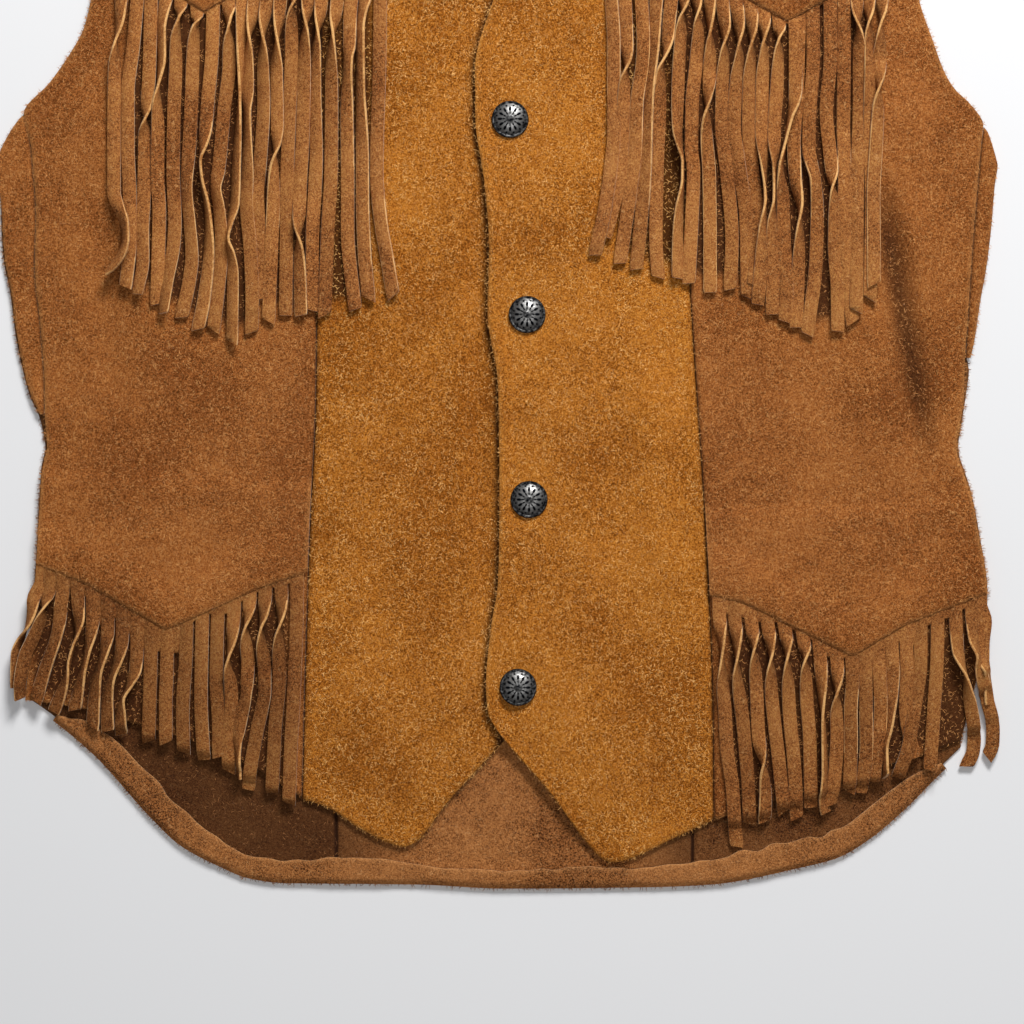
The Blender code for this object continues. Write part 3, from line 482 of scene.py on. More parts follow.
POCKET_STRIPS_RIGHT = (
    ((718.5, 605, 0), (719, 618, 15), (720.5, 635, 60), (721.5, 650, 88), (721.5, 668, 115),
     (722, 685, 150), (724, 705, 175), (726.5, 748, 180), (732, 786, 180), (734, 815, 180),
     (737, 847, 180)),
    ((733.5, 605, 0), (734.5, 622, 15), (736, 640, 55), (736, 657, 88), (736, 672, 120), (738, 690, 155),
     (741, 710, 175), (744.5, 745, 180), (748, 787, 180), (749.5, 824, 180)),
    ((749.5, 610, 0), (751.5, 628, 20), (752.5, 641, 65), (753, 652, 100), (754, 665, 140),
     (755.5, 685, 170), (758, 735, 185), (760, 750, 225), (762, 762, 265), (763.5, 775, 310),
     (765, 795, 335), (764.5, 822, 345)),
    ((765.5, 612, 0), (768, 630, 20), (769.5, 645, 60), (770, 657, 90), (770, 670, 125), (770.5, 690, 165),
     (773, 715, 178), (779, 766, 180), (784, 813, 180)),
    ((782.5, 618, 0), (785, 633, 20), (786, 645, 60), (786, 657, 90), (786.5, 670, 125), (787.5, 690, 165),
     (789, 715, 178), (794, 766, 180), (797, 819, 180)),
    ((801, 625, 0), (803, 642, 25), (804, 652, 65), (804, 664, 110), (805, 678, 150), (806, 700, 172),
     (809, 735, 178), (811, 808, 180)),
    ((818, 640, 0), (819.5, 660, 15), (820.5, 680, 45), (821, 700, 75), (822.5, 725, 105), (824, 775, 115),
     (822.5, 800, 120), (826, 813, 150)),
    ((835, 648, 0), (836.5, 668, 25), (836, 682, 60), (835.5, 695, 100), (835.5, 710, 150),
     (836.5, 735, 176), (834.5, 775, 180), (829.5, 806, 180)),
    ((851, 648, 0), (851.5, 680, 10), (850, 710, 15), (850.5, 740, 12), (849, 792, 10)),
    ((864.5, 655, 0), (865, 690, 8), (865.5, 720, 12), (866, 745, 12), (861, 793, 8)),
    ((891, 648, 0), (892, 670, 15), (891, 690, 30), (890, 705, 50), (888, 725, 65), (884, 748, 75),
     (885, 777, 75)),
    ((877.5, 650, 0), (879, 680, 10), (880, 707, 12), (879, 735, 12), (876, 755, 10), (873, 782, 8)),
    ((905.5, 645, 0), (906, 670, 5), (905, 705, 0), (906, 720, 0), (909, 735, 0), (914, 758, 0)),
    ((920, 630, 0), (919.5, 665, 8), (916, 695, 5), (912, 720, 3), (908, 745, 0), (897.5, 778, -5)),
    ((937, 625, 0), (936, 665, 8), (934, 700, 10), (932, 735, 8), (929.5, 770, 5)),
    ((955, 615, 0), (957, 650, -25), (961, 664, -60), (965, 676, -88), (967, 690, -120), (970, 705, -150),
     (973, 722, -165), (975, 740, -175), (974, 752, -180), (967, 767, -180)),
    ((985, 600, 0), (985, 620, 0), (982.5, 645, -10), (983, 660, -30), (986.5, 672, -60), (990, 705, -40)),
    ((971.5, 612, 0), (973, 640, -40), (977, 655, -70), (979.5, 668, -30), (983, 683, -10),
     (987.5, 700, -5), (994, 730, 0), (993.5, 745, 0), (988, 758, 5)),
)

# Tops of the cuts between the strips of the pockets' fringes, in pixels across and down
SLITS_LEFT = (
    (28, 581), (42, 581), (57, 590), (69, 588), (86, 597), (101, 625), (117, 618), (131, 636), (146, 649),
    (179, 653), (195, 621), (210, 614), (227, 614), (243, 601), (258, 592), (273, 588), (289, 584),
    (307, 573),
)
SLITS_RIGHT = (
    (711, 608), (726, 614), (741, 617), (758, 622), (773, 622), (793, 630), (809, 638), (827, 656),
    (843, 658), (860, 656), (871, 661), (884, 651), (899, 642), (912, 646), (928, 625), (946, 619),
    (964, 609), (992, 600),
)

# Finer creases than the source has: same columns as the folds
CREASES = (
    ("right side crease", 171, 46, 200, -108, 5.5, -3.6),
    ("right side ridge", 182, 46, 211, -108, 5.5, 2.4),
    ("right pocket crease", 180, -95, 200, -150, 13, -1.4),
    ("left placket hollow", -15, 60, -10, -190, 5, -2.2),
    ("left placket ridge", -25, 60, -20, -190, 5.5, 1.5),
    ("right front wave", 64, -20, 76, -190, 10, 1.5),
    ("left side crease", -192, 40, -184, -80, 8, -0.9),
    ("left pocket crease", -196, -100, -176, -130, 12, -0.8),
)

Shape = Callable[[np.ndarray], np.ndarray]
Row = tuple[str, float, float]
Node = bpy.types.Node
Material = bpy.types.Material
Bump = tuple[float, float]
Socket = bpy.types.NodeSocket
Chance = np.random.Generator


def linear(hex_colour: str) -> tuple[float, float, float, float]:
    """Turn an sRGB hex value into a linear colour.

    Args:
        hex_colour: Such as "#9F6126".

    Returns:
        Linear red, green, blue and an alpha of 1.
    """
    values = [int(hex_colour[i : i + 2], 16) / 255 for i in (1, 3, 5)]
    red, green, blue = (v / 12.92 if v <= 0.04045 else ((v + 0.055) / 1.055) ** 2.4 for v in values)
    return (red, green, blue, 1.0)


def ease(value: np.ndarray | float) -> np.ndarray:
    """Smooth step from 0 to 1."""
    t = np.clip(value, 0.0, 1.0)
    return t * t * (3 - 2 * t)


def from_photo(points: Sequence[tuple[float, float]]) -> np.ndarray:
    """Turn pixels of the photograph into plan places in millimetres."""
    pixels = np.array(points, dtype=float)
    x = (pixels[:, 0] - ORIGIN_PX[0]) * PIXEL
    y = (ORIGIN_PX[1] - pixels[:, 1]) * PIXEL
    return np.column_stack((x, y))


class Line:
    """A line through a table's rows of place, along and across. It never overshoots a row."""

    def __init__(self, rows: Sequence[Row], straight: bool = False) -> None:
        """Sort the rows and work out the slope at each.

        Args:
            rows: Place, distance along and distance across.
            straight: Whether the runs between rows are straight.
        """
        points = sorted((float(along), float(across)) for _, along, across in rows)
        self.along = np.array([point[0] for point in points])
        self.across = np.array([point[1] for point in points])
        self.steps = np.diff(self.along)
        self.straight = straight
        slopes = np.diff(self.across) / self.steps
        before, after = slopes[:-1], slopes[1:]
        both = before * after
        inner = np.where(both > 0, 2 * both / np.where(both > 0, before + after, 1.0), 0.0)
        self.tangents = np.concatenate((slopes[:1], inner, slopes[-1:]))

    def __call__(self, value: np.ndarray | float) -> np.ndarray:
        """Distance across at distances along."""
        value = np.clip(value, self.along[0], self.along[-1])
        if self.straight:
            return np.interp(value, self.along, self.across)
        i = np.clip(np.searchsorted(self.along, value, side="right") - 1, 0, len(self.steps) - 1)
        step = self.steps[i]
        t = (value - self.along[i]) / step
        start = (1 + 2 * t) * (1 - t) ** 2 * self.across[i] + t * (1 - t) ** 2 * step * self.tangents[i]
        end = t * t * (3 - 2 * t) * self.across[i + 1] - t * t * (1 - t) * step * self.tangents[i + 1]
        return start + end


class Ripple:
    """Soft unevenness of laid suede, the same on every layer."""

    def __init__(self, seed: int) -> None:
        """Fill the lattices that the unevenness is read from."""
        self.lattice = np.random.default_rng(seed).uniform(-1, 1, (97, 97))

    def at(self, x: np.ndarray, y: np.ndarray, size: float) -> np.ndarray:
        """Unevenness from -1 to 1.

        Args:
            x: Distances across, in millimetres.
            y: Heights, in millimetres.
            size: Width of a swell, in millimetres.

        Returns:
            The unevenness at each place.
        """
        u, v = np.asarray(x) / size + 400.0, np.asarray(y) / size + 400.0
        column, row = np.floor(u).astype(int), np.floor(v).astype(int)
        s, t = ease(u - column), ease(v - row)

        def corner(i: int, j: int) -> np.ndarray:
            """The lattice's value at one corner of each place's cell."""
            return self.lattice[(row + j) % 97, (column + i) % 97]

        low = corner(0, 0) * (1 - s) + corner(1, 0) * s
        high = corner(0, 1) * (1 - s) + corner(1, 1) * s
        return low * (1 - t) + high * t


front_side_left = Line(ARMHOLE_LEFT + GUSSET_SEAM_LEFT + HIP_LEFT)
front_side_right = Line(ARMHOLE_RIGHT + GUSSET_SEAM_RIGHT + HIP_RIGHT)
outline_left = Line(ARMHOLE_LEFT + GUSSET_SIDE_LEFT + HIP_LEFT)
outline_right = Line(ARMHOLE_RIGHT + GUSSET_SIDE_RIGHT + HIP_RIGHT)
gusset_seam_left = Line(ARMHOLE_LEFT[-1:] + GUSSET_SEAM_LEFT)
gusset_seam_right = Line(ARMHOLE_RIGHT[-1:] + GUSSET_SEAM_RIGHT)
free_edge_right = Line(FREE_EDGE_RIGHT)
snap_line = Line(SNAPS)
princess_left = Line(PRINCESS_LEFT)
princess_right = Line(PRINCESS_RIGHT)
back_seam_left = Line(BACK_SEAM_LEFT)
back_seam_right = Line(BACK_SEAM_RIGHT)
back_hem = Line(BACK_HEM)
front_hem_left = Line(FRONT_HEM_LEFT)
front_hem_right = Line(FRONT_HEM_RIGHT)
side_hem_left = Line(SIDE_HEM_LEFT)
side_hem_right = Line(SIDE_HEM_RIGHT)
turn_up_width = Line(TURN_UP_WIDTH)
pocket_point_left = Line(POCKET_POINT_LEFT, straight=True)
pocket_point_right = Line(POCKET_POINT_RIGHT, straight=True)
pocket_top_left = Line(POCKET_TOP_LEFT, straight=True)
pocket_top_right = Line(POCKET_TOP_RIGHT, straight=True)
yoke_point_left = Line(YOKE_POINT_LEFT, straight=True)
yoke_point_right = Line(YOKE_POINT_RIGHT, straight=True)
ripple = Ripple(SEED)


def free_edge_left(y: np.ndarray) -> np.ndarray:
    """Free edge of the left front: the right front's, turned over about the line of the snaps."""
    return 2 * snap_line(y) - free_edge_right(y)


def shoulder(x: np.ndarray) -> np.ndarray:
    """Height of the shoulder seam, and of the back's neck scoop between the neck points."""
    across = np.abs(x)
    scoop = NECK_Y - NECK_SCOOP * (1 - np.minimum(across / NECK_HALF_WIDTH, 1) ** 2.2)
    share = (across - NECK_HALF_WIDTH) / (SHOULDER_HALF_WIDTH - NECK_HALF_WIDTH)
    return np.where(across < NECK_HALF_WIDTH, scoop, NECK_Y + (SHOULDER_TIP_Y - NECK_Y) * share)


def front_hem(x: np.ndarray) -> np.ndarray:
    """Height of the fronts' lower edge at a distance x, the right front's where they lap."""
    left = np.where(x < princess_left(-250), side_hem_left(x), front_hem_left(x))
    right = np.where(x < princess_right(-260), front_hem_right(x), side_hem_right(x))
    return np.where(x < -3, left, right)


def fold_height(x: np.ndarray, y: np.ndarray, folds: Sequence[tuple]) -> np.ndarray:
    """What folds add to the height of the fronts.

    Args:
        x: Distances across.
        y: Heights in plan.
        folds: Rows of place, x and y of the upper end, x and y of the lower end, half width, height.

    Returns:
        The height of the folds at each place.
    """
    height = np.zeros(np.shape(x))
    for _, x_top, y_top, x_low, y_low, half_width, rise in folds:
        run = np.array((x_low - x_top, y_low - y_top))
        squared = float(run @ run)
        share = ((x - x_top) * run[0] + (y - y_top) * run[1]) / squared
        aside = ((x - x_top) * run[1] - (y - y_top) * run[0]) / math.sqrt(squared)
        height += rise * ease(share / 0.3) * ease((1 - share) / 0.35) * np.exp(-((aside / half_width) ** 2))
    return height


def snap_dimple(x: np.ndarray, y: np.ndarray) -> np.ndarray:
    """How far the suede is pulled down round each snap."""
    down = np.zeros(np.shape(x))
    for _, snap_y, snap_x in SNAPS:
        away = np.hypot(x - snap_x, y - snap_y)
        down += 0.35 * (1 - ease((away - 8.8) / 7.0))
    return down


def front_lower(x: np.ndarray, y: np.ndarray) -> np.ndarray:
    """Height of the fronts' underside: on the back at the seams and puffed between them."""
    side = np.minimum(x - front_side_left(y), front_side_right(y) - x)
    seams = ease(side / SIDE_EASE)
    seams = seams * ease((shoulder(np.maximum(np.abs(x), NECK_HALF_WIDTH)) - y) / SHOULDER_EASE)
    hem = 0.25 + 0.75 * ease((y - front_hem(x)) / HEM_EASE)
    uneven = 0.28 * ripple.at(x, y, 23.0) + 0.13 * ripple.at(y, x, 8.5)
    puffed = PUFF + fold_height(x, y, FOLDS) + fold_height(x, y, CREASES) + uneven
    return SUEDE + LAY + np.maximum(0.0, puffed * seams * hem)


def lap_lower(x: np.ndarray, y: np.ndarray) -> np.ndarray:
    """Height of the right front's underside, which rises over the left front where they lap."""
    beyond = (x - free_edge_left(y - 20) - LAP_FLAT) / LAP_FALL
    inward = x - free_edge_right(y)
    lifted = 1.5 * np.exp(-((inward / 4.5) ** 2)) - 0.45 * np.exp(-(((inward - 8) / 3) ** 2))
    lifted = lifted * ease((260 - np.abs(y)) / 60)
    return front_lower(x, y) + (SUEDE + LAP_LAY) * (1 - ease(beyond)) - snap_dimple(x, y) + lifted


def above(line: Shape, distance: float) -> Shape:
    """A line in plan moved up by a distance."""
    return lambda x: line(x) + distance


def spread(length: float, cell: float, close_start: bool, close_end: bool) -> np.ndarray:
    """Shares from 0 to 1 along a length, closer together near an edge that shows.

    Args:
        length: The length, in millimetres.
        cell: Usual distance between two places.
        close_start: Whether the start is an edge of the piece.
        close_end: Whether the end is an edge of the piece.

    Returns:
        Shares in order.
    """
    near = np.array((0.0, 0.35, 0.9, 1.8, 3.0))
    low = near if close_start else near[:1]
    high = length - (near[::-1] if close_end else near[:1])
    count = max(1, round((high[0] - low[-1]) / cell))
    middle = np.linspace(low[-1], high[0], count + 1)[1:-1]
    return np.concatenate((low, middle, high)) / length


def loft(left: Shape, right: Shape, rows: Sequence[tuple], cell: float) -> np.ndarray:
    """Lay out a panel's plan points between two side edges, through a few key rows.

    Args:
        left: Distance x of the left edge at a height.
        right: Distance x of the right edge at a height.
        rows: Height at the left edge, height at the right edge, and shape as a function of x or None.
        cell: Usual distance between two points, in millimetres.

    Returns:
        Points by row, column and x or y.
    """
    widest = max(float(right(row[1]) - left(row[0])) for row in rows)
    shares = spread(widest, cell, True, True)

    def chord(y_left: float, y_right: float) -> np.ndarray:
        """Places on the straight line between the side edges at these heights."""
        start = np.array((float(left(y_left)), y_left))
        end = np.array((float(right(y_right)), y_right))
        return start + np.outer(shares, end - start)

    def bow(y_left: float, y_right: float, shape: Shape | None) -> np.ndarray:
        """How far a row's shape bends away from its chord."""
        line = chord(y_left, y_right)
        if shape is None:
            return np.zeros(len(shares))
        heights = np.asarray(shape(line[:, 0]), dtype=float)
        fit = (y_left - heights[0]) * (1 - shares) + (y_right - heights[-1]) * shares
        return heights + fit - line[:, 1]

    points = []
    last = len(rows) - 2
    for number, (lower, upper) in enumerate(zip(rows, rows[1:])):
        length = (upper[0] + upper[1] - lower[0] - lower[1]) / 2
        steps = spread(length, cell, number == 0, number == last)
        for t in steps if number == last else steps[:-1]:
            line = chord(lower[0] + (upper[0] - lower[0]) * t, lower[1] + (upper[1] - lower[1]) * t)
            line[:, 1] += bow(*lower) * (1 - t) + bow(*upper) * t
            points.append(line)
    return np.array(points)


def under_fringe(plan: np.ndarray) -> np.ndarray:
    """How deep in the shade of a fringe each point of a plan lies, from 0 to 1."""
    shade = np.zeros(plan.shape[:2])
    fringes = (
        (CHEST_STRIPS_LEFT, yoke_point_left),
        (CHEST_STRIPS_RIGHT, yoke_point_right),
        (POCKET_STRIPS_LEFT, pocket_point_left),
        (POCKET_STRIPS_RIGHT, pocket_point_right),
    )
    for strips, point in fringes:
        tips = from_photo([(strip[-1][0], strip[-1][1]) for strip in strips])
        sides = from_photo([(strip[len(strip) // 2][0], 0) for strip in strips])[:, 0]
        tip = Line([("tip", x, y) for x, y in tips])
        x, y = plan[..., 0], plan[..., 1]
        inside = ease((y - tip(x) - 4) / 6) * ease((point(x) + 2 - y) / 3)
        inside = inside * ease((x - sides.min()) / 5) * ease((sides.max() - x) / 5)
        shade = np.maximum(shade, 0.85 * inside)
    return shade


def plan_area(plan: np.ndarray) -> float:
    """Area of a panel's plan, in square millimetres."""
    across, along = plan[:-1, 1:] - plan[:-1, :-1], plan[1:, :-1] - plan[:-1, :-1]
    return float(np.abs(across[..., 0] * along[..., 1] - across[..., 1] * along[..., 0]).sum())


def add_node(tree: bpy.types.NodeTree, kind: str, inputs: dict | None = None, **settings: object) -> Node:
    """Add a shader node.

    Args:
        tree: The material's node tree.
        kind: The node's type without "ShaderNode".
        inputs: Input name or number, and its value or the output that it is linked to.
        **settings: The node's own properties.

    Returns:
        The new node.
    """
    node = tree.nodes.new("ShaderNode" + kind)
    for name, value in settings.items():
        setattr(node, name, value)
    for name, value in (inputs or {}).items():
        if isinstance(value, Socket):
            tree.links.new(value, node.inputs[name])
        else:
            node.inputs[name].default_value = value
    return node


def per_mm(size: float) -> float:
    """Noise scale for a pattern of a size in millimetres, on coordinates in metres."""
    return 1.0 / (size * MM)


class Recipe:
    """A new material, with short ways to add the nodes that the finishes share."""

    def __init__(self, name: str) -> None:
        """Start the material.

        Args:
            name: The material's name.
        """
        self.material = bpy.data.materials.new(name)
        self.material.use_nodes = True
        self.tree = self.material.node_tree
        self.place = add_node(self.tree, "TexCoord").outputs["Object"]

    def noise(self, size: float, detail: float, roughness: float = 0.5, distortion: float = 0.0) -> Socket:
        """Noise with features of a size in millimetres."""
        values = {"Vector": self.place, "Scale": per_mm(size), "Detail": detail}
        values |= {"Roughness": roughness, "Distortion": distortion}
        return add_node(self.tree, "TexNoise", values).outputs["Fac"]

    def maths(self, operation: str, a: object, b: object, clamp: bool = False) -> Socket:
        """One step of arithmetic."""
        return add_node(self.tree, "Math", {0: a, 1: b}, operation=operation, use_clamp=clamp).outputs[0]

    def ranged(self, value: object, low: float, high: float, start: float = 0.0, end: float = 1.0) -> Socket:
        """A value carried from one range to another, and kept inside it."""
        values = {"Value": value, "From Min": low, "From Max": high, "To Min": start, "To Max": end}
        return add_node(self.tree, "MapRange", values).outputs["Result"]

    def mixed(self, share: object, first: object, second: object) -> Socket:
        """Two colours mixed by a share of the second."""
        return add_node(self.tree, "Mix", {"Factor": share, 6: first, 7: second}, data_type="RGBA").outputs[2]

    def attribute(self, name: str) -> Socket:
        """A number written for each vertex."""
        return add_node(self.tree, "Attribute", attribute_name=name).outputs["Fac"]

    def finished(self, colour: Socket, height: Socket, bump: Bump, **values: object) -> Material:
        """Close the recipe.

        Args:
            colour: The base colour.
            height: What the bump is read from.
            bump: The bump's strength, and its depth in millimetres.
            **values: Other inputs of the shader, with "_" for a space.

        Returns:
            The material.
        """
        shader = self.tree.nodes["Principled BSDF"]
        strength, depth = bump
        relief = add_node(self.tree, "Bump", {"Strength": strength, "Distance": depth * MM, "Height": height})
        self.tree.links.new(colour, shader.inputs["Base Color"])
        self.tree.links.new(relief.outputs["Normal"], shader.inputs["Normal"])
        for name, value in values.items():
            if isinstance(value, Socket):
                self.tree.links.new(value, shader.inputs[name.replace("_", " ")])
            else:
                shader.inputs[name.replace("_", " ")].default_value = value
        return self.material


@dataclass(frozen=True)
class SplitSuede:
    """Cow split suede, dyed and brushed: matt, with a short nap and pale loose fibres."""

    name: str
    colour: str
    shadow: str
    pale: str
    fibre: str
    blotch: float = 55.0
    mottle: float = 6.0
    nap: float = 0.72
    brush: float = 0.5
    relief: float = 0.8

    def material(self) -> Material:
        """Make the material: blotches, mottling, nap, loose fibres, worn edges, painted shade and bump."""
        recipe = Recipe(self.name)
        noise, maths, ranged, mixed = recipe.noise, recipe.maths, recipe.ranged, recipe.mixed
        blotches = ranged(noise(self.blotch, 2.0, 0.5), 0.35, 0.65, -0.22, 0.22)
        mottling = noise(self.mottle, 4.0, 0.6)
        nap = noise(self.nap, 2.0, 0.8, 1.1)
        tone = maths("ADD", blotches, ranged(mottling, 0.3, 0.7, -0.14, 0.14))
        tone = maths("ADD", tone, ranged(nap, 0.43, 0.57, 0.5 - self.brush, 0.5 + self.brush))
        dark = mixed(ranged(tone, 0.0, 0.5), linear(self.shadow), linear(self.colour))
        colour = mixed(ranged(tone, 0.5, 1.0), dark, linear(self.pale))

        # Loose fibres lie along level lines of a finer noise, cut short by a second one
        strand = maths("ABSOLUTE", maths("SUBTRACT", noise(2.6, 1.0, 0.5, 1.2), 0.5), 0.0)
        strand = ranged(strand, 0.01, 0.035, 1.0, 0.0)
        short = ranged(noise(1.7, 1.0), 0.5, 0.6, 0.0, 0.6)
        colour = mixed(maths("MULTIPLY", strand, short), colour, linear(self.fibre))

        # Cut edges are rubbed pale, and painted shade darkens what lies under or beside another piece, the
        # seams and the deepest crease
        rubbed = maths("MULTIPLY", recipe.attribute("worn"), ranged(nap, 0.3, 0.7, 0.15, 1.0), True)
        colour = mixed(maths("MULTIPLY", rubbed, 0.6), colour, linear(self.fibre))
        shade = maths("MULTIPLY", recipe.attribute("shade"), 1.0, True)
        colour = mixed(shade, colour, linear(DEEP_SHADE))
        height = maths("ADD", maths("MULTIPLY", nap, 0.9), maths("MULTIPLY", mottling, 0.5))
        values = {"Roughness": 0.97, "IOR": 1.45, "Specular_IOR_Level": 0.12}
        values |= {"Sheen_Weight": 0.06, "Sheen_Roughness": 0.6, "Sheen_Tint": linear(self.fibre)}
        return recipe.finished(colour, height, (self.relief, 1.1), **values)


@dataclass(frozen=True)
class RawEdge:
    """Cut edge or lifted fibre of the same suede: less dye has reached it, so it is pale and rough."""

    name: str
    colour: str
    deep: str

    def material(self) -> Material:
        """Make the material: short pale fibres across the cut, with dye in places."""
        recipe = Recipe(self.name)
        fibres = recipe.noise(0.9, 3.0)
        share = recipe.ranged(recipe.maths("ADD", fibres, recipe.noise(9.0, 2.0)), 0.75, 1.15)
        colour = recipe.mixed(share, linear(self.deep), linear(self.colour))
        values = {"Roughness": 0.95, "Specular_IOR_Level": 0.15, "Sheen_Weight": 0.25}
        return recipe.finished(colour, fibres, (0.5, 0.6), **values)


@dataclass(frozen=True)
class AntiqueMetal:
    """Stamped steel cap, plated and blackened, then rubbed back: dark hollows and bright high parts."""

    name: str
    bright: str
    dark: str

    def material(self) -> Material:
        """Make the material: the blackening stays in the stamping and on the rim."""
        recipe = Recipe(self.name)
        spots = recipe.noise(1.1, 4.0)
        share = recipe.ranged(recipe.maths("ADD", spots, recipe.attribute("rubbed")), 0.6, 1.35)
        colour = recipe.mixed(share, linear(self.dark), linear(self.bright))
        rough = recipe.ranged(share, 0.0, 1.0, 0.55, 0.3)
        return recipe.finished(colour, spots, (0.2, 0.3), Roughness=rough, Metallic=0.95)


class Finish(Enum):
    """The finishes of the vest."""

    CENTRE = SplitSuede("golden_tan_split_suede", "#A55A16", "#6A380C", "#D08632", "#DFA050")
    SIDE = SplitSuede("red_tan_split_suede", "#925022", "#5E3212", "#B8743A", "#D89C5C", brush=0.45)
    BACK = SplitSuede("back_split_suede", "#A86836", "#3C1C0A", "#C4844C", "#D49A62", brush=0.35)
    FRINGE = SplitSuede("fringe_split_suede", "#A86432", "#5C3216", "#C4884A", "#DCA468", brush=0.36)
    RAW = RawEdge("raw_cut_suede", "#DCA868", "#A0662F")
    FIBRE = RawEdge("lifted_golden_fibres", "#F2B86C", "#B87430")
    FIBRE_SIDE = RawEdge("lifted_red_tan_fibres", "#D89858", "#94582C")
    FIBRE_BACK = RawEdge("lifted_back_fibres", "#A06A3C", "#5E3820")
    EDGE = RawEdge("dyed_cut_suede", "#B5803F", "#70431C")
    METAL = AntiqueMetal("antique_plated_steel", "#B4B2AF", "#0E1014")


class Stack:
    """The surfaces laid so far, so that the next piece can rest on what is under it."""

    def __init__(self) -> None:
        """Start with the bare table."""
        self.surfaces: list[BVHTree] = []

    def add(self, points: np.ndarray, faces: Sequence[tuple[int, ...]]) -> None:
        """Lay a surface on the stack."""
        self.surfaces.append(BVHTree.FromPolygons([tuple(p) for p in points.tolist()], faces))

    def top(self, x: float, y: float) -> float:
        """Height of the highest surface at a place, 0 on the table."""
        highest = 0.0
        for surface in self.surfaces:
            hit = surface.ray_cast(Vector((x, y, 100.0)), Vector((0.0, 0.0, -1.0)))[0]
            if hit:
                highest = max(highest, hit.z)
        return highest


def grid_faces(rows: int, columns: int) -> list[tuple[int, int, int, int]]:
    """Four-sided faces of a grid, looking up."""
    corners = (np.arange(rows - 1)[:, None] * columns + np.arange(columns - 1)).ravel()
    faces = np.column_stack((corners, corners + 1, corners + columns + 1, corners + columns))
    return [tuple(face) for face in faces.tolist()]


def wall_faces(rows: int, columns: int) -> tuple[list[tuple], list[tuple], list[tuple]]:
    """Faces of a closed wall whose points are a grid's upper side, then its underside.

    Args:
        rows: Points along each column.
        columns: Points along each row.

    Returns:
        Faces of the upper side, of the underside and of the rim.
    """
    count = rows * columns
    upper = grid_faces(rows, columns)
    under = [tuple(reversed([corner + count for corner in face])) for face in upper]
    loop = list(range(columns)) + [r * columns + columns - 1 for r in range(1, rows)]
    loop += [(rows - 1) * columns + c for c in range(columns - 2, -1, -1)]
    loop += [r * columns for r in range(rows - 2, 0, -1)]
    rim = [(a + count, b + count, b, a) for a, b in zip(loop, loop[1:] + loop[:1])]
    return upper, under, rim


def make_object(
    name: str, points: np.ndarray, faces: Sequence, finishes: Sequence[Finish]
) -> bpy.types.Object:
    """Make a smooth mesh object at the origin.

    Args:
        name: The object's name.
        points: Its points, in millimetres.
        faces: Its faces, looking out.
        finishes: Its materials in order.

    Returns:
        The new object.
    """
    mesh = bpy.data.meshes.new(name)
    mesh.from_pydata((points * MM).tolist(), [], faces)
    mesh.update()
    mesh.shade_smooth()
    for finish in finishes:
        mesh.materials.append(material_of(finish))
    piece = bpy.data.objects.new(name, mesh)
    bpy.context.scene.collection.objects.link(piece)
    return piece


def material_of(finish: Finish) -> Material:
    """A finish's material, made the first time it is asked for."""
    return bpy.data.materials.get(finish.value.name) or finish.value.material()


def set_attribute(mesh: bpy.types.Mesh, name: str, values: np.ndarray) -> None:
    """Write a number for each vertex, for the materials to read."""
    attribute = mesh.attributes.new(name, "FLOAT", "POINT")
    attribute.data.foreach_set("value", np.ascontiguousarray(values, dtype=np.float32).ravel())


